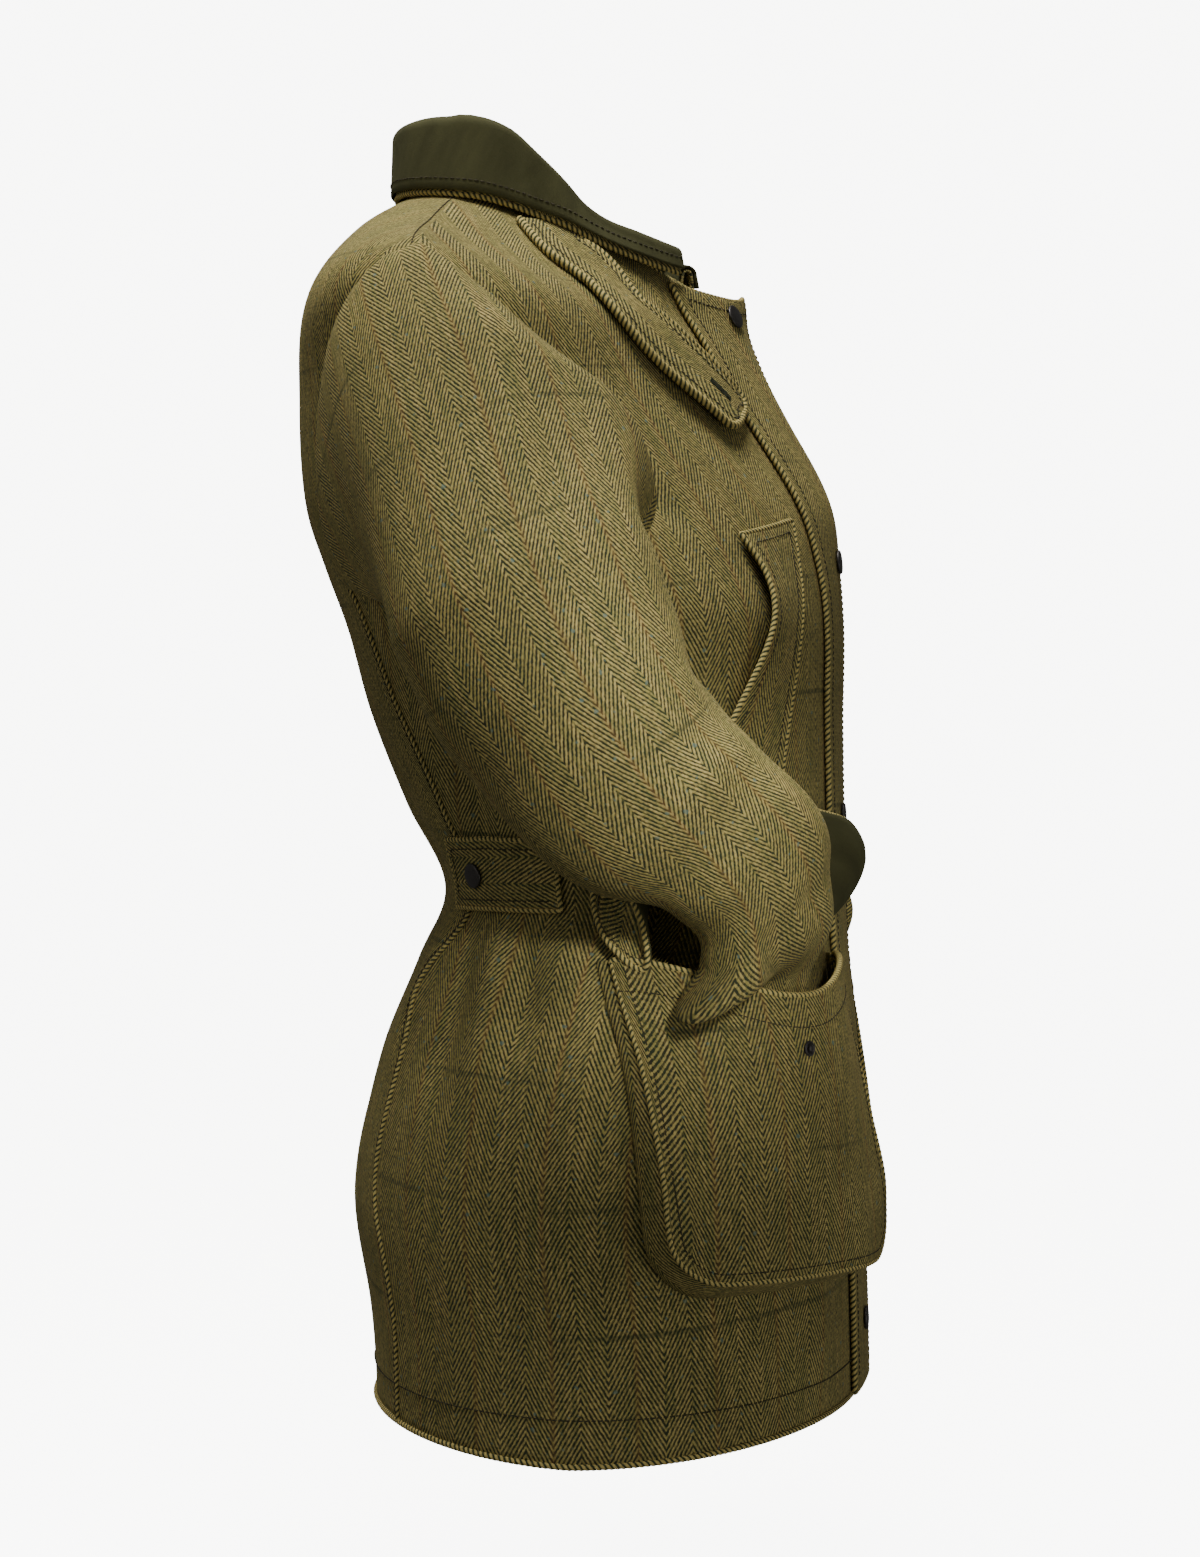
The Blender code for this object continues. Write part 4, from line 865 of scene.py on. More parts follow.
def grid_faces(rows, weave, closed):
    """Four-sided faces between rows of points, with each corner's place in the weave."""
    starts = np.cumsum([0] + [len(row) for row in rows])
    faces = []
    places = []
    for i in range(len(rows) - 1):
        count = min(len(rows[i]), len(rows[i + 1]))
        last = count if closed else count - 1
        for j in range(last):
            k = (j + 1) % count
            faces.append((starts[i] + j, starts[i] + k, starts[i + 1] + k, starts[i + 1] + j))
            places.append((weave[i][j], weave[i][j + 1], weave[i + 1][j + 1], weave[i + 1][j]))
    return faces, places


EDGE_ROUND = 0.45        # an edge of cloth swells by this share of its thickness


def shell(points, faces, places, thickness):
    """Both faces of a cloth and its rounded edge; the given points are one face and the other lies along
    their normals."""
    base = bpy.data.meshes.new("base")
    base.from_pydata(points, [], faces)
    normals = np.empty(len(points) * 3)
    base.vertex_normals.foreach_get("vector", normals)
    bpy.data.meshes.remove(base)
    normals = normals.reshape(-1, 3)
    far = points + normals * thickness
    count = len(points)
    all_faces = [face[::-1] for face in faces]
    all_places = [place[::-1] for place in places]
    all_faces += [tuple(v + count for v in face) for face in faces]
    all_places += list(places)
    edges = {}
    for face, place in zip(faces, places):
        for a in range(4):
            b = (a + 1) % 4
            edges[(face[a], face[b])] = (place[a], place[b])
    rim = {pair: place for pair, place in edges.items() if pair[::-1] not in edges}
    away = np.zeros((count, 3))
    for a, b in rim:
        side = np.cross(points[b] - points[a], normals[a] + normals[b])
        side /= max(np.linalg.norm(side), 1e-12)
        away[a] += side
        away[b] += side
    lengths = np.linalg.norm(away, axis=1, keepdims=True)
    away = np.divide(away, lengths, out=away, where=lengths > 0)
    rim_points = sorted({v for pair in rim for v in pair})
    middle_of = {v: 2 * count + k for k, v in enumerate(rim_points)}
    middle = (points + far)[rim_points] / 2 + away[rim_points] * thickness * EDGE_ROUND
    for (a, b), place in rim.items():
        all_faces.append((a, b, middle_of[b], middle_of[a]))
        all_faces.append((middle_of[a], middle_of[b], b + count, a + count))
        all_places += [(place[0], place[1], place[1], place[0])] * 2
    return np.concatenate([points, far, middle]), all_faces, all_places


def add_piece(context, name, points, faces, places, look, nodes=()):
    """An object from points in metres that rides on the jacket and stands for solids."""
    mesh = bpy.data.meshes.new(name)
    mesh.from_pydata(points, [], faces)
    layer = mesh.uv_layers.new(name=WEAVE_MAP)
    layer.uv.foreach_set("vector", np.concatenate([np.array(p, float) for p in places]).ravel())
    mesh.shade_smooth()
    mesh.materials.append(finish(context, look))
    piece = bpy.data.objects.new(name, mesh)
    context.scene.collection.objects.link(piece)
    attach(piece, BODY)
    if nodes:
        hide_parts(*nodes)
    return piece


CLOTH_NAMES = {"tweed": "_tweed", "moleskin": "_moleskin", "tape": "_woven"}


def cloth(context, node, rows, weave, thickness, look, side="right", closed=False, inward=False,
          lined=False):
    """The sewn piece that stands for a solid: rows of points in millimetres, made for the right side, and
    a thickness in metres."""
    if side == "left":
        rows = [row * FLIP for row in rows][::-1]
        weave = weave[::-1]
    points = np.concatenate(rows) * MM
    faces, places = grid_faces(rows, weave, closed)
    if inward:
        faces = [face[::-1] for face in faces]
        places = [place[::-1] for place in places]
    count = len(faces)
    points, faces, places = shell(points, faces, places, thickness)
    piece = add_piece(context, node + CLOTH_NAMES[look], points, faces, places, look, (node,))
    if lined:
        piece.data.materials.append(finish(context, "lining"))
        for face in piece.data.polygons[count:2 * count]:
            face.material_index = 1
    return piece


EDGE_PLACE = 8.0         # a piece is cut this far from a spine of the weave


def measured(rows, closed=False):
    """Place in the weave from distances along and between rows."""
    rows = [np.asarray(row) for row in rows]
    across = []
    for row in rows:
        ring = np.concatenate([row, row[:1]]) if closed else row
        gone = np.cumsum(np.linalg.norm(np.diff(ring, axis=0), axis=1))
        across.append(EDGE_PLACE + np.concatenate([[0], gone]))
    rise = [np.zeros(len(rows[0]))]
    for low, high in zip(rows, rows[1:]):
        rise.append(rise[-1] + np.linalg.norm(high - low, axis=1))
    if closed:
        rise = [np.append(row, row[0]) for row in rise]
    return [np.stack(pair, -1) for pair in zip(across, rise)]


def turned(weave):
    """The weave with its warp along the rows instead of across them."""
    return [places[:, ::-1] for places in weave]


# Edges and sewing; a path is rows of a point and the way out of the cloth there

CORD_SIDES = 8
CORD_STEP = 0.75
CORD_STRANDS = 2
CORD_PITCH = 3.3         # one light and one dark stripe of a turned edge
CORD_LOBES = 0.10
CORD_SOFTEN = 5
STITCH_SHARE = 0.74      # of the stitch pitch that is thread
STITCH_SHAPE = ((-0.5, -0.9), (-0.36, 0.25), (-0.12, 0.6), (0.12, 0.6), (0.36, 0.25), (0.5, -0.9))
STITCH_WEAVE = 4.0       # length of a stitch in the weave map
THREAD_SIDES = 6


def surface_normals(grid):
    """Unit vectors out of a grid of points."""
    normal = np.cross(np.gradient(grid, axis=1), np.gradient(grid, axis=0))
    return normal / np.linalg.norm(normal, axis=2, keepdims=True)


def distances(points):
    """Distances along rows of points."""
    return np.pad(np.cumsum(np.linalg.norm(np.diff(points[:, :3], axis=0), axis=1)), (1, 0))


def evenly(path, step, trim=0.0):
    """A path in even steps, with some cut from both of its ends."""
    gone = distances(path)
    count = max(int(round((gone[-1] - 2 * trim) / step)), 1)
    places = np.linspace(trim, gone[-1] - trim, count + 1)
    return np.stack([np.interp(places, gone, path[:, k]) for k in range(6)], -1)


def edge_line(rows, edge, inset):
    """A path along an edge of a surface, some way in from it. The edges of a grid are its low and high
    rows and the first and last points of its rows."""
    grid = np.array(rows)
    grid = np.concatenate([grid, surface_normals(grid)], axis=2)
    if edge in ("first", "last"):
        grid = grid.swapaxes(0, 1)
    if edge in ("high", "last"):
        grid = grid[::-1]
    path = []
    for j in range(grid.shape[1]):
        gone = distances(grid[:, j])
        path.append([np.interp(inset, gone, grid[:, j, k]) for k in range(6)])
    return np.array(path)


def edge_path(rows, edges, inset=0.0):
    """A path that follows several edges in turn."""
    path = None
    for edge in edges:
        line = edge_line(rows, edge, inset)
        if len(edges) > 1 and inset > 0:
            line = evenly(line, 1.0, inset)
        if path is None:
            path = line
            continue
        ends = ((-1, 0), (-1, -1), (0, 0), (0, -1))
        nearest = int(np.argmin([np.linalg.norm(path[a, :3] - line[b, :3]) for a, b in ends]))
        if nearest > 1:
            path = path[::-1]
        if nearest % 2 == 1:
            line = line[::-1]
        path = np.concatenate([path, line])
    return path


def raised(path, distance):
    """A path moved out from the cloth."""
    path = path.copy()
    path[:, :3] += path[:, 3:] * distance
    return path


def form_path(angle, level, out=0.0):
    """A path on the body, or moved out from it."""
    angle, level = np.broadcast_arrays(np.asarray(angle, float), np.asarray(level, float))
    return raised(np.concatenate([form(angle, level), form_normal(angle, level)], axis=1), out)


OUTSIDE_IN = np.array([1, 1, 1, -1, -1, -1])      # turns the way out of a path round


def path_for_side(side, path):
    return path if side == "right" else path * np.tile(FLIP, 2)


def both_sides(path):
    return [path_for_side(side, path) for side in SIDES]


def path_axes(path):
    """Unit vectors along, out of and across a path."""
    along = np.gradient(path[:, :3], axis=0)
    along /= np.maximum(np.linalg.norm(along, axis=1, keepdims=True), 1e-9)
    out = path[:, 3:] - along * (along * path[:, 3:]).sum(1, keepdims=True)
    out /= np.maximum(np.linalg.norm(out, axis=1, keepdims=True), 1e-9)
    return along, out, np.cross(along, out)


def cord_mesh(path, radius):
    """A two-strand roll along a path: points, faces and places in the weave."""
    path = evenly(path, CORD_STEP)
    window = np.ones(CORD_SOFTEN) / CORD_SOFTEN
    padded = np.pad(path, ((CORD_SOFTEN // 2,) * 2, (0, 0)), mode="edge")
    path = np.stack([np.convolve(padded[:, k], window, mode="valid") for k in range(6)], -1)
    turns = distances(path) / CORD_PITCH
    _, out, across = path_axes(path)
    points = []
    for share in np.arange(CORD_SIDES) / CORD_SIDES:
        swell = radius * (1 + CORD_LOBES * np.cos(2 * math.pi * (CORD_STRANDS * share - turns)))
        turn = 2 * math.pi * share
        points.append(path[:, :3] + (out * math.cos(turn) + across * math.sin(turn)) * swell[:, None])
    points = np.stack(points, 1)
    shares = np.arange(CORD_SIDES + 1) * CORD_STRANDS / CORD_SIDES
    weave = [np.stack([shares, np.full(CORD_SIDES + 1, turn)], -1) for turn in turns]
    faces, places = grid_faces(list(points), weave, closed=True)
    return points.reshape(-1, 3), [face[::-1] for face in faces], [place[::-1] for place in places]


def stitch_mesh(path, pitch, radius):
    """A row of stitches along a path, each a short thread with its ends sunk in the cloth."""
    path = evenly(path, pitch)
    middle = (path[1:] + path[:-1]) / 2
    along, out, across = path_axes(middle) if len(middle) > 1 else (np.zeros((1, 3)),) * 3
    turn = np.linspace(0, 2 * math.pi, THREAD_SIDES, endpoint=False)
    rings = []
    for place, rise in STITCH_SHAPE:
        centre = middle[:, :3] + along * (place * pitch * STITCH_SHARE) + out * (rise * radius)
        ring = out[:, None] * np.cos(turn)[:, None] + across[:, None] * np.sin(turn)[:, None]
        rings.append(centre[:, None] + ring * radius)
    points = np.stack(rings, 1)
    count = len(STITCH_SHAPE) * THREAD_SIDES
    weave = [np.stack([np.arange(THREAD_SIDES + 1), np.full(THREAD_SIDES + 1, place * STITCH_WEAVE)], -1)
             for place, _ in STITCH_SHAPE]
    one, places = grid_faces(list(points[0]), weave, closed=True)
    faces = [tuple(v + k * count for v in face[::-1]) for k in range(len(points)) for face in one]
    return points.reshape(-1, 3), faces, [place[::-1] for place in places] * len(points)


def joined(parts):
    """Several meshes as one."""
    points, faces, places = [], [], []
    count = 0
    for part_points, part_faces, part_places in parts:
        points.append(part_points)
        faces += [tuple(v + count for v in face) for face in part_faces]
        places += part_places
        count += len(part_points)
    return np.concatenate(points), faces, places


def add_trim(context, name, parts, look, nodes=()):
    """Meshes in millimetres as one piece."""
    points, faces, places = joined(parts)
    piece = add_piece(context, name, points * MM, faces, places, look, nodes)


def turned_edges(context, name, paths, roll=None):
    """The turned and pressed edges of a piece."""
    radius = (roll or context.scene.jacket_sizes.edge_roll) / MM / 2
    add_trim(context, name + "_edges", [cord_mesh(path, radius) for path in paths], "edge")


def topstitches(context, name, paths):
    """Rows of stitches on a piece."""
    sizes = context.scene.jacket_sizes
    parts = [stitch_mesh(path, sizes.stitch / MM, sizes.thread / MM / 2) for path in paths]
    add_trim(context, name + "_stitches", parts, "thread")


def sew(context, name, rows, thickness, corded, stitched, inset, side="right", roll=None):
    """Turned edges and topstitching along edges of a piece whose rows are for the right side."""
    if corded:
        path = raised(edge_path(rows, corded), thickness / MM / 2)
        turned_edges(context, name, [path_for_side(side, path)], roll)
    if stitched:
        path = raised(edge_path(rows, stitched, inset), thickness / MM)
        topstitches(context, name, [path_for_side(side, path)])


# Body panels

def skirt_share(level):
    """Share of the way from the hem to the underarm."""
    return (level - HEM_LEVEL) / (UNDERARM_LEVEL - HEM_LEVEL)


def seam_level(share):
    """Level of a point of the long back seam, at a share of the way from the hem to the armhole."""
    return HEM_LEVEL + (CORNER_LEVEL - HEM_LEVEL) * share


def underarm_angles():
    return np.linspace(UNDERARM_ANGLE, CORNER_ANGLE, UNDERARM_COLUMNS + 1)[1:]


FINE_SKIRT = finer((*SKIRT_LEVELS, UNDERARM_LEVEL), SKIRT_STEPS)
FINE_ARM_FRONT = finer((UNDERARM_LEVEL, *ARM_FRONT_LEVELS, SHOULDER_LEVEL), ARM_STEPS)[1:-1]
FINE_ARM_BACK = finer((CORNER_LEVEL, *ARM_BACK_LEVELS, SHOULDER_LEVEL), ARM_STEPS)[1:-1]
FINE_YOKE = finer(YOKE_LEVELS, SKIRT_STEPS)


def front_places():
    """Angles and levels of the rows of the right front; those above the underarm stop at the armhole."""
    share_front = np.linspace(0, 1, FRONT_COLUMNS + 1)
    share_back = np.linspace(0, 1, UNDERARM_COLUMNS + 1)[1:]
    low_levels = armhole_low_level(underarm_angles())
    rows = []
    for level in FINE_SKIRT:
        share = skirt_share(level)
        edge = angle_at_arc(level, FRONT_EDGE)
        seam = back_seam_angle(seam_level(share))
        seam = seam - degrees_of(GAP / 2, seam, seam_level(share))
        front_angles = edge + (UNDERARM_ANGLE - edge) * share_front
        back_angles = UNDERARM_ANGLE + (seam - UNDERARM_ANGLE) * share_back
        back_levels = HEM_LEVEL + (low_levels - HEM_LEVEL) * share
        levels = np.concatenate([np.full(FRONT_COLUMNS + 1, level), back_levels])
        rows.append((np.concatenate([front_angles, back_angles]), levels))
    for level in (*FINE_ARM_FRONT, *FINE_YOKE):
        end = armhole_front_angle(level) if level < SHOULDER_LEVEL else SHOULDER_ANGLE
        end = end - degrees_of(GAP / 2, end, level)
        edge = angle_at_arc(level, FRONT_EDGE)
        angles = edge + (end - edge) * share_front
        rows.append((angles, np.full_like(angles, level)))
    return rows


def back_places():
    """Angles and levels of the rows of the back."""
    edges = []
    for level in FINE_SKIRT:
        edges.append((seam_level(skirt_share(level)), back_seam_angle(seam_level(skirt_share(level)))))
    for level in FINE_ARM_BACK:
        edges.append((level, armhole_back_angle(level)))
    for level in FINE_YOKE:
        edges.append((level, SHOULDER_ANGLE))
    rows = []
    for level, edge in edges:
        edge = edge + degrees_of(GAP / 2, edge, level)
        angles = np.linspace(edge, 360 - edge, BACK_COLUMNS)
        rows.append((angles, np.full_like(angles, level)))
    return rows


# How far the sewing of the body stands proud of its cloth, thicknesses of its seam rolls in metres,
# places of the stitching from the seams and the hem, and points along the lines
SEAM_PROUD = 0.6
HEM_PROUD = 0.2
STITCH_PROUD = 0.2
SEAM_ROLL = 0.0026
ARMHOLE_ROLL = 0.003
NECK_ROLL = 0.004
SEAM_STITCH = 5.0
HEM_STITCH = 24.0
SHOULDER_STITCH = 2.0    # degrees
HEM_POINTS = 721
SEAM_POINTS = 200
SHOULDER_POINTS = 60
NECK_POINTS = 181


class JACKET_OT_body(bpy.types.Operator):
    """Make the two fronts and the back"""
    bl_idname = "jacket.body"
    bl_label = "Fronts and back"

    def execute(self, context):
        thick = context.scene.jacket_sizes.cloth
        places = front_places()
        rows = [form(angle, level) for angle, level in places]
        weave = [front_weave(angle, level) for angle, level in places]
        for side in SIDES:
            piece = cloth(context, "front_" + side, rows, weave, thick, "tweed", side, lined=True)
        places = back_places()
        rows = [form(angle, level) for angle, level in places]
        weave = [back_weave(angle, level) for angle, level in places]
        piece = cloth(context, "back_panel", rows, weave, thick, "tweed", lined=True)
        self.sew(context, thick / MM)
        return {"FINISHED"}

    def sew(self, context, thick):
        """Turned hem, long back seams, topstitching, and rolls that close the armholes and neck seam."""
        edge = angle_at_arc(HEM_LEVEL, FRONT_EDGE)
        around = np.linspace(edge, 360 - edge, HEM_POINTS)
        levels = np.linspace(HEM_LEVEL, CORNER_LEVEL, SEAM_POINTS)
        seam = back_seam_angle(levels)
        beside = seam + degrees_of(SEAM_STITCH, seam, levels)
        shoulder = np.linspace(SHOULDER_LEVEL, NECK_LEVEL, SHOULDER_POINTS)
        armhole = armhole_places()
        armhole = np.concatenate([armhole, armhole[:1]]).T
        neck = np.linspace(COLLAR_STATIONS[0], 360 - COLLAR_STATIONS[0], NECK_POINTS)
        turned_edges(context, "hem", [form_path(around, HEM_LEVEL, HEM_PROUD)])
        turned_edges(context, "back_seams", both_sides(form_path(seam, levels, SEAM_PROUD)), SEAM_ROLL)
        lines = [form_path(around, HEM_LEVEL + HEM_STITCH, STITCH_PROUD)]
        lines += both_sides(form_path(beside, levels, STITCH_PROUD))
        lines += both_sides(form_path(SHOULDER_ANGLE + SHOULDER_STITCH, shoulder, STITCH_PROUD))
        topstitches(context, "body", lines)
        turned_edges(context, "armholes", both_sides(form_path(*armhole, -thick / 2)), ARMHOLE_ROLL)
        turned_edges(context, "neck_seam", [form_path(neck, NECK_LEVEL, -thick / 2)], NECK_ROLL)


# Sleeves

def armhole_places():
    """Angles and levels of the points round the right armhole, from the shoulder down the front."""
    places = [(SHOULDER_ANGLE, SHOULDER_LEVEL)]
    places += [(float(armhole_front_angle(level)), level) for level in FINE_ARM_FRONT[::-1]]
    places.append((UNDERARM_ANGLE, UNDERARM_LEVEL))
    places += list(zip(underarm_angles(), armhole_low_level(underarm_angles())))
    places += [(float(armhole_back_angle(level)), level) for level in FINE_ARM_BACK]
    return np.array(places, float)


def sleeve_section(table, folds, row, around):
    """A section of the arm: its ring of points and the way the arm runs there."""
    x, y, z, tilt, turn, width, depth = (float(value) for value in row_curves(table, row))
    tilt = math.radians(tilt)
    turn = math.radians(turn)
    outward = np.array([-math.cos(turn), -math.sin(turn), 0.0])
    forward = np.array([math.sin(turn), -math.cos(turn), 0.0])
    runs = forward * math.sin(tilt) - UP * math.cos(tilt)
    front = forward * math.cos(tilt) + UP * math.sin(tilt)
    swell = np.zeros(len(around))
    drop = np.zeros(len(around))
    for values in folds:
        fold = dict(zip(ELBOW_FOLD_COLUMNS, values))
        away = ((around - fold["around"] + 180) % 360 - 180) / fold["around_spread"]
        along = (row - fold["row"]) / fold["row_spread"]
        bell = np.exp(-(along**2) - away**2)
        swell += fold["height"] * bell
        drop += fold.get("drop", 0.0) * bell
    cosine = np.cos(np.radians(around))[:, None]
    sine = np.sin(np.radians(around))[:, None]
    direction = outward * cosine + front * sine
    oval = outward * cosine * depth / 2 + front * sine * width / 2
    return np.array([x, y, z]) + oval + direction * swell[:, None] - UP * drop[:, None], runs


def sleeve_rings(table, folds):
    """Rings from the armhole over the cap and down the arm to the cuff."""
    outline = armhole_places()
    edge = form(outline[:, 0], outline[:, 1])
    steps = np.linalg.norm(np.roll(edge, -1, axis=0) - edge, axis=1)
    around = 360 * (np.cumsum(steps) - steps) / steps.sum()
    inward = edge.mean(axis=0) - edge
    inward /= np.linalg.norm(inward, axis=1, keepdims=True)
    normals = form_normal(outline[:, 0], outline[:, 1])
    start = edge + inward * ARMHOLE_CLEARANCE + normals * GAP
    first, runs = sleeve_section(table, folds, 0, around)
    reach = np.linalg.norm(first - start, axis=1, keepdims=True)
    leaving = normals * np.clip((reach - CAP_SHORT) * CAP_SHARE, 1.0, CAP_RISE)
    landing = runs * np.clip((reach - CAP_SHORT) * CAP_SHARE, 1.0, CAP_FALL)
    middle, reached, fade = CAP_ROLL
    off = np.abs((around - middle + 180) % 360 - 180)
    rolled = ease((reached - off) / fade)[:, None]
    behind = np.exp(-(((around - CAP_TUCK_ANGLE) / CAP_TUCK_SPREAD) ** 2))[:, None]
    rings = []
    for s in np.linspace(0, 1, CAP_RINGS, endpoint=False) ** CAP_RING_POWER:
        ring = hermite(s, start, first, leaving, landing)
        crest = min(s / CAP_CREST, 1) * math.exp(-max(s - CAP_CREST, 0) / CAP_CREST_FADE)
        crest *= float(1 - ease(s * 2 - 1))
        edge_lift = CAP_EDGE * (1 - math.exp(-s / CAP_EDGE_START)) * float(1 - ease(s / CAP_EDGE_END))
        ring += normals * edge_lift + (normals * CAP_PUFF - inward * CAP_LAP) * crest * rolled
        rings.append(ring + FORWARD * CAP_TUCK * math.sin(math.pi * s) * behind)
    for row in np.linspace(0, len(table) - 1, SLEEVE_RINGS):
        rings.append(sleeve_section(table, folds, row, around)[0])
    seam = int(np.argmin(np.abs(around - 180)))
    rings = np.roll(np.array(rings), -seam, axis=1)
    return list(rings), len(around) - seam


def sleeve_weave(context, rings, outer):
    """Place in the weave of a sleeve: it is cut open along its seam and unrolled with as little stretch
    as can be, so that the warp runs down the outer line of the upper arm."""
    grid = np.array([np.concatenate([ring, ring[:1]]) for ring in rings])
    faces, _ = grid_faces(grid, np.zeros((*grid.shape[:2], 2)), closed=False)
    mesh = bpy.data.meshes.new("unrolled")
    mesh.from_pydata(grid.reshape(-1, 3) * MM, [], faces)
    mesh.uv_layers.new(name=WEAVE_MAP)
    piece = bpy.data.objects.new("unrolled", mesh)
    context.scene.collection.objects.link(piece)
    context.view_layer.objects.active = piece
    piece.select_set(True)
    bpy.ops.object.mode_set(mode="EDIT")
    bpy.ops.mesh.select_all(action="SELECT")
    bpy.ops.uv.unwrap(method="MINIMUM_STRETCH", margin=0.0)
    bpy.ops.object.mode_set(mode="OBJECT")
    corners = np.empty(len(mesh.loops), int)
    mesh.loops.foreach_get("vertex_index", corners)
    values = np.empty(len(mesh.loops) * 2)
    mesh.uv_layers[WEAVE_MAP].uv.foreach_get("vector", values)
    flat = np.zeros((len(mesh.vertices), 2))
    flat[corners] = values.reshape(-1, 2)
    bpy.data.objects.remove(piece)
    bpy.data.meshes.remove(mesh)
    flat = flat.reshape(*grid.shape[:2], 2)
    upper_arm = CAP_RINGS + SLEEVE_RINGS // 3
    down = flat[upper_arm, outer] - flat[CAP_RINGS // 2, outer]
    turn = math.atan2(down[0], down[1])
    spin = np.array([[math.cos(turn), math.sin(turn)], [-math.sin(turn), math.cos(turn)]])
    length = np.linalg.norm(np.diff(grid[:, outer], axis=0), axis=1).sum()
    flat_length = np.linalg.norm(np.diff(flat[:, outer], axis=0), axis=1).sum()
    return list((flat - flat[0, outer]) @ spin * (length / flat_length))


class JACKET_OT_sleeves(bpy.types.Operator):
    """Make the sleeves, with their cuffs in the bellows pockets"""
    bl_idname = "jacket.sleeves"
    bl_label = "Sleeves"

    def execute(self, context):
        thick = context.scene.jacket_sizes.cloth
        wrists = (SLEEVE_RIGHT_WRIST, SLEEVE_LEFT_WRIST)
        for side, wrist, folds in zip(SIDES, wrists, (ELBOW_FOLDS + RIGHT_CUFF_FOLDS, ELBOW_FOLDS)):
            table = [wrist.get(k, row) for k, row in enumerate(SLEEVE)]
            rings, outer = sleeve_rings(table, folds)
            piece = cloth(context, "sleeve_" + side, rings, sleeve_weave(context, rings, outer), thick,
                          "tweed", side, closed=True, lined=True)
        return {"FINISHED"}


# Collar

def collar_profile(station, inset, drop):
    """Collar cross-section from the neck seam up the stand, over the roll and down the fall."""
    roll, lean, spread, edge = station
    outer_top = lean + ROLL_WIDTH
    spring = roll - ROLL_WIDTH * ROLL_ARCH
    stand_foot = np.array((inset, COLLAR_FOOT))
    stand_top = np.array((lean + inset, spring))
    profile = [stand_foot + (stand_top - stand_foot) * s for s in np.linspace(0, 1, STAND_POINTS)]
    middle = (lean + outer_top) / 2
    for turn in np.radians(np.linspace(*ROLL_ENDS, ROLL_POINTS)):
        profile.append((middle + math.cos(turn) * (ROLL_WIDTH / 2 - inset),
                        spring + math.sin(turn) * (roll - spring - inset)))
    fall_start = np.array((outer_top - inset, spring))
    fall_end = np.array((spread - inset, edge - drop))
    profile += [fall_start + (fall_end - fall_start) * s for s in np.linspace(0, 1, FALL_POINTS)]
    return np.array(profile)


def collar_rows(inset, drop):
    """Cross-sections round the neck, from one front end to the other."""
    half = finer(COLLAR_STATIONS, COLLAR_STEPS)
    rows = []
    for angle in (*half, *(360 - half[-2::-1])):
        station = [float(value) for value in curves(COLLAR[::-1], min(angle, 360 - angle))]
        profile = collar_profile(station, inset, drop)
        seam = form(np.array(angle), np.array(NECK_LEVEL))
        outward = form_normal(np.array(angle), np.array(NECK_LEVEL)) * np.array([1.0, 1.0, 0.0])
        outward /= np.linalg.norm(outward)
        rows.append(seam + outward * profile[:, :1] + UP * profile[:, 1:])
    return rows


class JACKET_OT_collar(bpy.types.Operator):
    """Make the moleskin top collar and the tweed under collar"""
    bl_idname = "jacket.collar"
    bl_label = "Collar"

    def execute(self, context):
        sizes = context.scene.jacket_sizes
        top = collar_rows(0.0, 0.0)
        piece = cloth(context, "collar_top", top, measured(top), sizes.moleskin, "moleskin")
        rows = collar_rows(sizes.moleskin / MM + COLLAR_SPACE, UNDER_COLLAR_PEEK)
        piece = cloth(context, "collar_under", rows, measured(rows), sizes.moleskin, "tweed")
        sew(context, "collar_under", rows, sizes.moleskin, ("last",), (), 0.0)
        line = edge_path(top, ("last",), COLLAR_STITCH)
        topstitches(context, "collar_top", [line * OUTSIDE_IN])
        return {"FINISHED"}


# Storm flap

def storm_flap_place(share, level, out):
    """Points of the storm flap, from its sewn edge (0) to its free edge (1)."""
    share, level = np.broadcast_arrays(np.asarray(share, float), np.asarray(level, float))
    arc = FLAP_SEWN_ARC - (FLAP_SEWN_ARC + FLAP_FREE_ARC) * share
    lift = curves(FLAP_LIFT, level)[0] * np.maximum(share, 0) ** FLAP_CURL
    place = form(angles_at_arcs(level, arc), level, STORM_REST + out)
    return place + lift[..., None] * np.array(FLAP_LIFT_WAY)


def storm_flap_level(share, height):
    """Level at a share of the flap's height; its top edge rises towards the free side."""
    top = FLAP_TOP_LEVEL + FLAP_TOP_RISE * share
    return HEM_LEVEL + FLAP_ABOVE_HEM + (top - HEM_LEVEL - FLAP_ABOVE_HEM) * height


class JACKET_OT_storm_flap(bpy.types.Operator):
    """Make the storm flap over the zip"""
    bl_idname = "jacket.storm_flap"
    bl_label = "Storm flap"

    def execute(self, context):
        thick = context.scene.jacket_sizes.double_cloth
        shares = np.linspace(0, 1, STORM_FLAP_POINTS)
        rows = [storm_flap_place(shares, storm_flap_level(shares, height), 0.0)
                for height in np.linspace(0, 1, STORM_FLAP_ROWS)]
        piece = cloth(context, "storm_flap", rows, measured(rows), thick, "tweed")
        stitched = ("first", "high", "last")
        sew(context, "storm_flap", rows, thick, (*stitched, "low"), stitched, FLAP_STITCH)
        return {"FINISHED"}


# Pockets

FREE_EDGES = ("first", "low", "last")


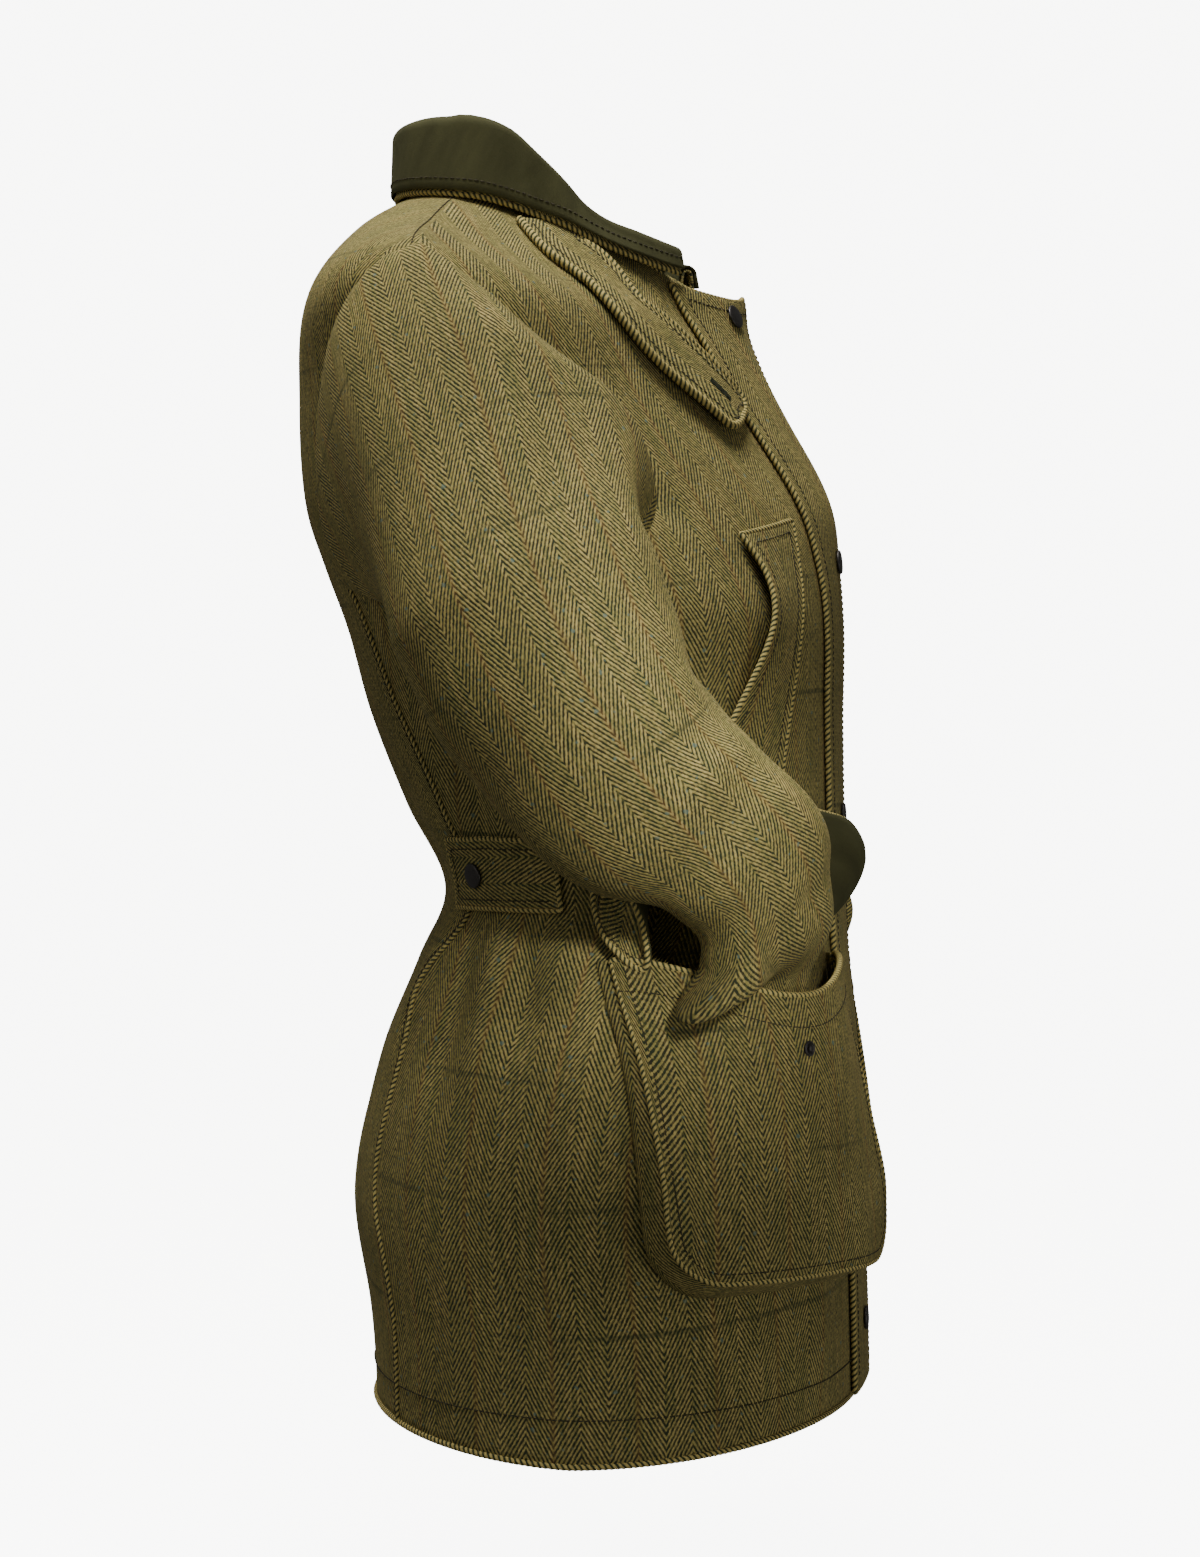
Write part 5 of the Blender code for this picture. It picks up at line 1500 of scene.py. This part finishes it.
def chest_rows():
    """Rows of the right chest pocket from its sewn edge to its free edge."""
    rows = []
    shares = np.linspace(0, 1, CHEST_POINTS)
    for k in np.linspace(0, len(CHEST_POCKET) - 1, CHEST_ROWS):
        level_free, arc_free, level_sewn, arc_sewn, gape = row_curves(CHEST_POCKET, k)
        levels = level_sewn + (level_free - level_sewn) * shares
        arcs = arc_sewn + (arc_free - arc_sewn) * shares
        out = CHEST_REST + gape * shares**2
        rows.append(form(angles_at_arcs(levels, arcs), levels, out))
    return rows


def pocket_outline(u, v, inset):
    """Arc and level of a place on the pocket: u from the rear to the front, v from top to bottom."""
    rear = POCKET_REAR_ARC - inset
    front = POCKET_FRONT_ARC + inset
    bottom = POCKET_BOTTOM_LEVEL + inset
    radius = POCKET_CORNER - inset
    arc = rear + (front - rear) * u
    edge = np.minimum(arc - front, rear - arc)
    lift = np.where(edge < radius, radius - np.sqrt(np.maximum(radius**2 - (radius - edge) ** 2, 0)), 0.0)
    top = POCKET_TOP_LEVEL - POCKET_MOUTH_DIP * np.sin(math.pi * u) ** 2
    level = top + (bottom + lift - top) * v
    return arc, level


def flattened(share, full):
    """How much of its stand a pocket keeps, at a share of the way from its rear to its front."""
    start, end = FLATTENS
    return 1 - (1 - full) * ease((share - start) / (end - start))


def pocket_out(u, v, full):
    """How far the face stands from the body."""
    rear, middle, front = curves(POCKET_OUT, v)
    bow = np.abs(np.sin(math.pi * u)) ** POCKET_BOW
    return ((rear + (front - rear) * u) * (1 - bow) + middle * bow) * flattened(u, full)


def pocket_face_point(u, v, full, out=0.0):
    u, v = np.broadcast_arrays(np.asarray(u, float), np.asarray(v, float))
    arc, level = pocket_outline(u, v, POCKET_INSET)
    return form(angles_at_arcs(level, arc), level, pocket_out(u, v, full) + out)


POCKET_SHARES = (0.0, 0.02, 0.06, 0.12, 0.22, 0.34, 0.46, 0.58, 0.7, 0.8, 0.88, 0.94, 0.98, 1.0)
POCKET_STEPS = 4
POCKET_ROWS = 41


def pocket_rim():
    """Places round the pocket's rear, bottom and front edges."""
    sides = np.linspace(0, 1, POCKET_ROWS)
    down = [(0.0, v) for v in sides[:-1]]
    across = [(u, 1.0) for u in finer(POCKET_SHARES, POCKET_STEPS)]
    up = [(1.0, v) for v in sides[-2::-1]]
    return np.array(down + across + up).T


def pocket_line(full, inset):
    """A path on the pocket's face, some way in from its rear, bottom and front edges."""
    arc, level = pocket_outline(*pocket_rim(), POCKET_INSET + inset)
    rear = POCKET_REAR_ARC - POCKET_INSET
    u = (rear - arc) / (rear - POCKET_FRONT_ARC - POCKET_INSET)
    top = pocket_outline(u, 0.0, POCKET_INSET)[1]
    bottom = pocket_outline(u, 1.0, POCKET_INSET)[1]
    v = (level - top) / (bottom - top)
    points = pocket_face_point(u, v, full)
    over = pocket_face_point(u, v, full, 1.0)
    return np.concatenate([points, over - points], axis=1)


def gusset_rows(full):
    """Rows of the gusset round the pocket, from the body out to the face."""
    u, v = pocket_rim()
    base_arc, base_level = pocket_outline(u, v, 0.0)
    angle = angles_at_arcs(base_level, base_arc)
    foot = form(angle, base_level, GUSSET_REST)
    bulge = form(angle, base_level, pocket_out(u, v, full) * GUSSET_BULGE)
    top = pocket_face_point(u, v, full, -GUSSET_SPACE)
    middle = (foot + top + 2 * bulge) / 4
    return list(np.stack([bent(s, foot, middle, top) for s in np.linspace(0, 1, GUSSET_POINTS)], 1))


class JACKET_OT_chest_pockets(bpy.types.Operator):
    """Make the side-entry chest pockets"""
    bl_idname = "jacket.chest_pockets"
    bl_label = "Chest pockets"

    def execute(self, context):
        thick = context.scene.jacket_sizes.cloth
        rows = chest_rows()
        weave = measured(rows)
        for side in SIDES:
            name = "chest_pocket_" + side
            piece = cloth(context, name, rows, weave, thick, "tweed", side)
            sew(context, name, rows, thick, FREE_EDGES, FREE_EDGES, CHEST_STITCH, side)
        return {"FINISHED"}


class JACKET_OT_bellows_pockets(bpy.types.Operator):
    """Make the bellows pockets: a face and a gusset each"""
    bl_idname = "jacket.bellows_pockets"
    bl_label = "Bellows pockets"

    def execute(self, context):
        sizes = context.scene.jacket_sizes
        us = finer(POCKET_SHARES, POCKET_STEPS)
        for side, full in zip(SIDES, FULL):
            rows = [pocket_face_point(us, v, full) for v in np.linspace(1, 0, POCKET_ROWS)]
            name = "pocket_face_" + side
            face = cloth(context, name, rows, measured(rows), sizes.cloth, "tweed", side)
            sew(context, name, rows, sizes.cloth, FREE_EDGES, ("high",), POCKET_HEM, side, POCKET_ROLL)
            line = path_for_side(side, raised(pocket_line(full, POCKET_STITCH), sizes.cloth / MM))
            topstitches(context, name + "_edge", [line])
            mouth = raised(edge_path(rows, ("high",)), sizes.cloth / MM / 2)
            turned_edges(context, name + "_mouth", [path_for_side(side, mouth)])
            rows = gusset_rows(full)
            name = "pocket_gusset_" + side
            band = cloth(context, name, rows, measured(rows), sizes.gusset, "tweed", side)
        return {"FINISHED"}


# Pocket flaps

FLAP_SHARES = (0.0, 0.03, 0.08, 0.14, 0.2, 0.26, 0.32, 0.38, 0.45, 0.55, 0.66, 0.77, 0.86, 0.92, 0.97,
               1.0)
FLAP_STEPS = 5
FLAP_ROWS = 21


def pocket_flap_point(along, deep, full):
    """A point between the flap and its lining: along it from the rear, and down from the sewn edge."""
    rise, middle, tip, back = curves(POCKET_FLAP, along)
    sewn = FLAP_REAR_LEVEL + (FLAP_FRONT_LEVEL - FLAP_REAR_LEVEL) * along
    arc = FLAP_REAR_ARC + (FLAP_FRONT_ARC - FLAP_REAR_ARC) * along
    edge = np.minimum(along, 1 - along) * (FLAP_REAR_ARC - FLAP_FRONT_ARC)
    inside = np.maximum(FLAP_CORNER**2 - (FLAP_CORNER - np.minimum(edge, FLAP_CORNER))**2, 0)
    cut = FLAP_CORNER - np.sqrt(inside)
    depth = deep * (1 - cut / np.maximum(np.abs(rise), FLAP_LEAST_RISE))
    level = sewn + rise * depth
    stand = FLAP_REST + bent(depth, 0.0, middle, tip)
    arc = arc + back * depth
    flat = np.minimum(stand, FLAP_REST + FLAP_FLAT * depth)
    stand = flat + (stand - flat) * flattened(along, full)
    return form(angles_at_arcs(level, arc), level, stand)


def moved_off(rows, distance):
    """A surface moved along its own normals."""
    grid = np.array(rows)
    return list(grid + surface_normals(grid) * distance)


class JACKET_OT_pocket_flaps(bpy.types.Operator):
    """Make the pocket flaps with their moleskin linings"""
    bl_idname = "jacket.pocket_flaps"
    bl_label = "Pocket flaps"

    def execute(self, context):
        sizes = context.scene.jacket_sizes
        along = finer(FLAP_SHARES, FLAP_STEPS)
        layers = (("pocket_flap_", "tweed", sizes.flap_tweed, 1),
                  ("flap_lining_", "moleskin", sizes.flap_lining, -1))
        for side, full in zip(SIDES, FLAP_FULL):
            rows = [pocket_flap_point(along, deep, full) for deep in np.linspace(1, 0, FLAP_ROWS)]
            weave = measured(rows)
            for layer, look, thick, way in layers:
                off = moved_off(rows, way * GAP / 2)
                piece = cloth(context, layer + side, off, weave, thick, look, side, inward=way < 0)
            sew(context, "pocket_flap_" + side, moved_off(rows, GAP / 2), sizes.flap_tweed, FREE_EDGES,
                FREE_EDGES, POCKET_FLAP_STITCH, side)
        return {"FINISHED"}


# Tabs

def across_form(angle, level, along, distance):
    """Angles and levels reached by going a distance across the way that a strip runs on the body."""
    turn = turn_by_degree(angle, level)
    rise = (bare_form(angle, level + 1) - bare_form(angle, level - 1)) / 2
    across = np.cross(form_normal(angle, level), along) * distance[:, None]
    places = []
    for k in range(len(angle)):
        step = np.linalg.lstsq(np.stack([turn[k], rise[k]], 1), across[k], rcond=None)[0]
        places.append((angle[k] + step[0], level[k] + step[1]))
    return np.array(places).T


def throat_tab_rows():
    """Rows of the throat tab along its length, with the corners of its free end rounded."""
    angle, level, out = row_curves(THROAT_TAB, np.linspace(0, len(THROAT_TAB) - 1, THROAT_STEPS))
    middle = bare_form(angle, level)
    along = np.gradient(middle, axis=0)
    along /= np.linalg.norm(along, axis=1, keepdims=True)
    length = distances(middle)
    past = np.maximum(THROAT_CORNER - (length[-1] - length), 0)
    half_width = THROAT_TAB_WIDTH / 2 - THROAT_CORNER + np.sqrt(THROAT_CORNER**2 - past**2)
    rows = []
    for share in np.linspace(-1, 1, THROAT_ROWS):
        side_angle, side_level = across_form(angle, level, along, half_width * share)
        rows.append(form(side_angle, side_level, out + THROAT_REST))
    return rows


def strip_rows(levels, arcs, out):
    """Rows of a strip that lies along the body between two arcs."""
    return [form(angles_at_arcs(level, arcs), np.full_like(arcs, level), out) for level in levels]


class JACKET_OT_tabs(bpy.types.Operator):
    """Make the throat tab and the waist tabs"""
    bl_idname = "jacket.tabs"
    bl_label = "Throat and waist tabs"

    def execute(self, context):
        thick = context.scene.jacket_sizes.double_cloth
        rows = throat_tab_rows()
        piece = cloth(context, "throat_tab", rows, turned(measured(rows)), thick, "tweed")
        free = ("low", "last", "high")
        sew(context, "throat_tab", rows, thick, free, free, THROAT_STITCH, roll=THROAT_ROLL)
        self.buttonhole(context, rows, thick / MM)
        levels = WAIST_TAB_LEVEL + np.linspace(-0.5, 0.5, WAIST_TAB_ROWS) * WAIST_TAB_HEIGHT
        arcs = np.linspace(WAIST_TAB_BACK_ARC, WAIST_TAB_FRONT_ARC, WAIST_TAB_POINTS)
        rows = strip_rows(levels, arcs, WAIST_REST)
        weave = turned(measured(rows))
        for side in SIDES:
            name = "waist_tab_" + side
            piece = cloth(context, name, rows, weave, thick, "tweed", side)
            sew(context, name, rows, thick, ("last", "low", "first", "high"), ("low", "first", "high"),
                WAIST_STITCH, side)
        return {"FINISHED"}

    def buttonhole(self, context, rows, thick):
        """A slit with close stitches over both of its sides."""
        grid = np.array(rows)
        middle = np.concatenate([grid, surface_normals(grid)], axis=2)[len(rows) // 2]
        line = evenly(raised(middle, thick), 1.0)
        gone = distances(line)
        end = gone[-1] - BUTTONHOLE_END
        places = np.linspace(end - BUTTONHOLE_LENGTH, end, BUTTONHOLE_STITCHES)
        slit = np.stack([np.interp(places, gone, line[:, k]) for k in range(6)], -1)
        _, out, across = path_axes(slit)
        radius = context.scene.jacket_sizes.thread / MM / 2
        reach = np.array([[BUTTONHOLE_START], [BUTTONHOLE_REACH / 2], [BUTTONHOLE_REACH]])
        parts = []
        for k in range(len(slit)):
            for way in (-1, 1):
                ends = np.repeat(slit[k:k + 1], 3, axis=0)
                ends[:, :3] += across[k] * way * reach
                ends[:, 3:] = out[k]
                parts.append(stitch_mesh(ends, BUTTONHOLE_REACH / 2, radius))
        add_trim(context, "throat_tab_buttonhole", parts, "twist")
        parts = [cord_mesh(raised(slit, SLIT_PROUD), SLIT_RADIUS)]
        add_trim(context, "throat_tab_slit", parts, "thread")


# Studs and zip

STUD_DIAMETER = 14.5
STUD_HEIGHT = 2.6
SOCKET_STUD_DIAMETER = 8.5
STUD_SIDES = 48
# Middle of a flap or pocket, and steps on both sides over which the way out under a stud is taken
MIDDLE = 0.5
FLAP_STUD_STEPS = (0.12, 8.0)
POCKET_STUD_STEPS = (0.05, 0.05)
# Shares of a stud's radius and height, from its foot to the middle of its top
CAP_PROFILE = ((0.90, 0.0), (0.97, 0.08), (1.0, 0.25), (1.0, 0.42), (0.97, 0.58), (0.91, 0.70),
               (0.86, 0.72), (0.80, 0.74), (0.60, 0.82), (0.40, 0.87), (0.20, 0.89), (0.0, 0.90))
STUD_POINT = 0.01        # least share of the radius
SOCKET_PROFILE = ((0.92, 0.0), (1.0, 0.15), (1.0, 0.38), (0.93, 0.52), (0.82, 0.56), (0.72, 0.48),
                  (0.64, 0.25), (0.55, 0.12), (0.46, 0.12), (0.44, 0.5), (0.46, 0.8), (0.40, 0.95),
                  (0.26, 1.0), (0.0, 1.0))
SLIDER = (9.0, 4.5, 13.0)
SLIDER_REST = 0.9
SLIDER_DROP = 8.0        # below the neck seam
SLIDER_ROUND = 0.5
# Wings and bridge of the slider: shares of its width, depth and length, and of its depth that they
# lie out
SLIDER_PARTS = ((1.0, 0.34, 1.0, -0.33), (0.8, 0.34, 0.86, 0.02), (0.34, 0.36, 0.6, 0.32))
TOOTH = (4.6, 1.9, 2.6)
TOOTH_ROUND = 0.45
TOOTH_SHIFT = 1.2        # teeth lie to one side and the other in turn
ZIP_SINK = 0.25
ZIP_STEPS = 4
ZIP_TAPE_POINTS = 9
ZIP_LINE_POINTS = 400


def surface_axis(place_of, v, du, dv):
    """Way out of a surface that is given as a function of two numbers, at its middle."""
    across = place_of(MIDDLE + du, v) - place_of(MIDDLE - du, v)
    along = place_of(MIDDLE, v + dv) - place_of(MIDDLE, v - dv)
    axis = np.cross(across, along)
    axis /= np.linalg.norm(axis)
    return -axis if axis[1] > 0 else axis


def lathe(place, axis, diameter, height, profile):
    """A turned cap: points, faces and places in the weave map."""
    turn = np.linspace(0, 2 * math.pi, STUD_SIDES, endpoint=False)
    side = np.cross(axis, UP)
    side /= np.linalg.norm(side)
    ring = np.cos(turn)[:, None] * side + np.sin(turn)[:, None] * np.cross(axis, side)
    rows = [place + ring * (diameter / 2 * max(wide, STUD_POINT)) + axis * (height * high)
            for wide, high in profile]
    weave = [np.stack([np.arange(STUD_SIDES + 1), np.full(STUD_SIDES + 1, k)], -1)
             for k in range(len(rows))]
    faces, places = grid_faces(rows, weave, closed=True)
    return np.concatenate(rows), faces, places


class JACKET_OT_studs(bpy.types.Operator):
    """Make the press studs of the storm flap, waist tabs and bellows pockets"""
    bl_idname = "jacket.studs"
    bl_label = "Press studs"

    def execute(self, context):
        sizes = context.scene.jacket_sizes
        double = sizes.double_cloth / MM
        cap = (STUD_DIAMETER, CAP_PROFILE)
        socket = (SOCKET_STUD_DIAMETER, SOCKET_PROFILE)
        studs = []
        for number, level in enumerate(STUD_LEVELS, 1):
            axis = surface_axis(lambda u, v: storm_flap_place(u, v, double), level, *FLAP_STUD_STEPS)
            place = storm_flap_place(MIDDLE, level, double) + axis * STUD_REST
            studs.append(("storm_stud_%d" % number, place, axis, *cap))
        angle = np.array(angle_at_arc(WAIST_TAB_LEVEL, WAIST_STUD_ARC))
        waist_axis = form_normal(angle, np.array(WAIST_TAB_LEVEL))
        waist_foot = form(angle, np.array(WAIST_TAB_LEVEL), WAIST_REST + double + STUD_REST)
        down = SOCKET_STUD_DROP / (POCKET_TOP_LEVEL - POCKET_BOTTOM_LEVEL)
        for side, full, flip in zip(SIDES, FULL, (1.0, FLIP)):
            studs.append(("waist_stud_" + side, waist_foot * flip, waist_axis * flip, *cap))
            axis = surface_axis(lambda u, v: pocket_face_point(u, v, full), down, *POCKET_STUD_STEPS)
            foot = pocket_face_point(MIDDLE, down, full, sizes.cloth / MM)
            studs.append(("pocket_stud_" + side, foot * flip, axis * flip, *socket))
        for node, place, axis, diameter, profile in studs:
            parts = [lathe(place, axis, diameter, STUD_HEIGHT, profile)]
            add_trim(context, node + "_cap", parts, "gunmetal", (node,))
        return {"FINISHED"}


def rounded_block(size, bevel, spots, ways):
    """Copies of a block with rounded edges, at spots with their own axes: points and faces."""
    bm = bmesh.new()
    bmesh.ops.create_cube(bm, size=1.0)
    bmesh.ops.scale(bm, vec=size, verts=bm.verts[:])
    bmesh.ops.bevel(bm, geom=bm.edges[:], offset=bevel, segments=2, affect="EDGES", profile=0.5)
    bm.verts.index_update()
    one = np.array([vert.co[:] for vert in bm.verts])
    one_faces = [tuple(vert.index for vert in face.verts) for face in bm.faces]
    bm.free()
    points = [spot + one @ np.array(way) for spot, way in zip(spots, ways)]
    faces = [tuple(v + k * len(one) for v in face) for k in range(len(spots)) for face in one_faces]
    places = [tuple(one[list(face)][:, (0, 2)]) for face in one_faces] * len(spots)
    return np.concatenate(points), faces, places


class JACKET_OT_zip(bpy.types.Operator):
    """Make the zip: two tapes, their teeth and the slider"""
    bl_idname = "jacket.zip"
    bl_label = "Zip"

    def execute(self, context):
        sizes = context.scene.jacket_sizes
        sunk = -sizes.cloth / MM - ZIP_REST
        levels = finer((*SKIRT_LEVELS[1:], UNDERARM_LEVEL, *ARM_FRONT_LEVELS, *YOKE_LEVELS), ZIP_STEPS)
        rows = strip_rows(levels, np.linspace(ZIP_TAPE_WIDTH, ZIP_HALF_GAP, ZIP_TAPE_POINTS), sunk)
        for side in SIDES:
            piece = cloth(context, "zip_tape_" + side, rows, measured(rows), sizes.zip_tape, "tape", side,
                          inward=True)
        middle = form_path(0.0, np.linspace(levels[0], levels[-1], ZIP_LINE_POINTS))
        line = evenly(middle, sizes.tooth / MM / 2)
        along, out, across = path_axes(line)
        ways = np.stack([across, out, along], 1)
        spots = line[:, :3] + out * (sunk - ZIP_SINK)
        shift = np.where(np.arange(len(line)) % 2 == 0, TOOTH_SHIFT, -TOOTH_SHIFT)[:, None]
        parts = [rounded_block(TOOTH, TOOTH_ROUND, spots + across * shift, ways)]
        add_trim(context, "zip_teeth", parts, "zip_plastic")
        self.slider(context, sunk)
        return {"FINISHED"}

    def slider(self, context, sunk):
        """Two wings with a raised bridge, in the place of the slider's block."""
        level = np.array(NECK_LEVEL - SLIDER_DROP)
        out = form_normal(np.array(0.0), level)
        side = np.array([1.0, 0.0, 0.0])
        way = np.stack([side, out, np.cross(side, out)])
        deep = SLIDER[1]
        place = form(np.array(0.0), level, sunk) + out * (deep / 2 + SLIDER_REST)
        parts = []
        for *shares, high in SLIDER_PARTS:
            size = [length * share for length, share in zip(SLIDER, shares)]
            parts.append(rounded_block(size, SLIDER_ROUND, [place + out * (deep * high)], [way]))
        add_trim(context, "zip_slider_body", parts, "gunmetal", ("zip_slider",))


# Studio

FLOOR_LEVEL = -0.86
FLOOR_SIZE = 16.0
BACKDROP_RADIUS = 7.0
BACKDROP_STEPS = (48, 24)
PAPER = "#f4f4f2"
PAPER_GLOW = 9.0
ROOM_LIGHT = "#f4f3f0"
ROOM_STRENGTH = 0.16

# Lights: place and aim in metres, size, spread in degrees, and power; the narrow ones fill the sleeve and
# forearm alone
LIGHT_COLUMNS = ("name", "place", "aim", "size", "spread", "power")
LIGHTS = [
    ("key", (-0.42, 0.1, 1.6), (0.0, -0.035, -0.33), 0.8, 180, 56.0),
    ("forearm_fill", (-1.25, -0.6, 0.0), (-0.25, -0.14, -0.37), 0.12, 14, 0.10),
    ("sleeve_fill", (-1.1, -0.65, 0.45), (-0.28, -0.05, -0.26), 0.12, 13, 0.065),
    ("low_fill", (-1.0, -1.3, -0.75), (0.0, -0.15, -0.6), 0.6, 90, 1.3),
    ("back_fill", (-1.5, 1.6, 0.4), (0.0, -0.035, -0.33), 1.2, 180, 5.0),
]


def bright_studio_paper(name):
    """White studio paper, lit so evenly that it shows no shade of its own."""
    material, tree, shader = new_material(name)
    set_sockets(tree, shader, {
        "Base Color": four(linear(PAPER)), "Roughness": 0.9, "Emission Color": four(linear(PAPER)),
        "Emission Strength": PAPER_GLOW,
    })
    return material


def stage_piece(context, mesh, material):
    """A floor or backdrop that the camera sees and that throws no light on the cloth."""
    mesh.materials.append(material)
    piece = bpy.data.objects.new(mesh.name, mesh)
    piece.visible_diffuse = False
    piece.visible_glossy = False
    piece.visible_shadow = False
    context.scene.collection.objects.link(piece)


def stand(context, name, data, place, aim):
    """A lamp or camera at a place, facing another."""
    thing = bpy.data.objects.new(name, data)
    thing.location = place
    thing.rotation_euler = (Vector(aim) - Vector(place)).to_track_quat("-Z", "Y").to_euler()
    context.scene.collection.objects.link(thing)
    return thing


class JACKET_OT_stage(bpy.types.Operator):
    """Make the floor, the backdrop, the soft light and the camera"""
    bl_idname = "jacket.stage"
    bl_label = "Stage"

    def execute(self, context):
        half = FLOOR_SIZE / 2
        corners = ((-half, -half), (half, -half), (half, half), (-half, half))
        mesh = bpy.data.meshes.new("floor")
        mesh.from_pydata([(x, y, FLOOR_LEVEL) for x, y in corners], [], [(0, 1, 2, 3)])
        stage_piece(context, mesh, bright_studio_paper("pale_floor_paper"))
        mesh = bpy.data.meshes.new("backdrop")
        bm = bmesh.new()
        around, up = BACKDROP_STEPS
        bmesh.ops.create_uvsphere(bm, u_segments=around, v_segments=up, radius=BACKDROP_RADIUS)
        bm.to_mesh(mesh)
        bm.free()
        mesh.shade_smooth()
        stage_piece(context, mesh, bright_studio_paper("white_backdrop_paper"))
        world = bpy.data.worlds.new("studio")
        world.use_nodes = True
        background = world.node_tree.nodes["Background"]
        background.inputs["Color"].default_value = four(linear(ROOM_LIGHT))
        background.inputs["Strength"].default_value = ROOM_STRENGTH
        context.scene.world = world
        for row in LIGHTS:
            lamp = dict(zip(LIGHT_COLUMNS, row))
            light = bpy.data.lights.new(lamp["name"], "AREA")
            light.size = lamp["size"]
            light.spread = math.radians(lamp["spread"])
            light.energy = lamp["power"]
            stand(context, lamp["name"], light, lamp["place"], lamp["aim"])
        camera = bpy.data.cameras.new("camera")
        camera.sensor_width = SENSOR
        camera.lens = FOCAL_PIXELS / max(PHOTO_SIZE) * SENSOR
        turn = math.radians(CAMERA_AZIMUTH)
        target = Vector(CAMERA_TARGET)
        place = target + Vector((math.sin(turn), -math.cos(turn), 0.0)) * CAMERA_DISTANCE
        context.scene.camera = stand(context, "camera", camera, place, target)
        return {"FINISHED"}


class JACKET_PT_panel(bpy.types.Panel):
    """Lists the jacket's sizes, colours and pieces"""
    bl_idname = "JACKET_PT_panel"
    bl_label = "Tweed Shooting Jacket"
    bl_space_type = "VIEW_3D"
    bl_region_type = "UI"
    bl_category = "Jacket"

    def draw(self, context):
        layout = self.layout
        for group in (context.scene.jacket_sizes, context.scene.jacket_colours):
            box = layout.box()
            for name in group.bl_rna.properties.keys():
                if name not in ("rna_type", "name"):
                    box.prop(group, name)
        for operator in OPERATORS:
            layout.operator(operator.bl_idname)


OPERATORS = (JACKET_OT_stage, JACKET_OT_body, JACKET_OT_sleeves, JACKET_OT_collar, JACKET_OT_storm_flap,
             JACKET_OT_chest_pockets, JACKET_OT_bellows_pockets, JACKET_OT_pocket_flaps, JACKET_OT_tabs,
             JACKET_OT_studs, JACKET_OT_zip)
CLASSES = (JacketSizes, JacketColours, *OPERATORS, JACKET_PT_panel)


def register():
    for kind in CLASSES:
        bpy.utils.register_class(kind)
    bpy.types.Scene.jacket_sizes = PointerProperty(type=JacketSizes)
    bpy.types.Scene.jacket_colours = PointerProperty(type=JacketColours)


def unregister():
    del bpy.types.Scene.jacket_colours
    del bpy.types.Scene.jacket_sizes
    for kind in reversed(CLASSES):
        bpy.utils.unregister_class(kind)


def main():
    register()
    for operator in OPERATORS:
        group, action = operator.bl_idname.split(".")
        getattr(getattr(bpy.ops, group), action)()


if __name__ == "__main__":
    main()
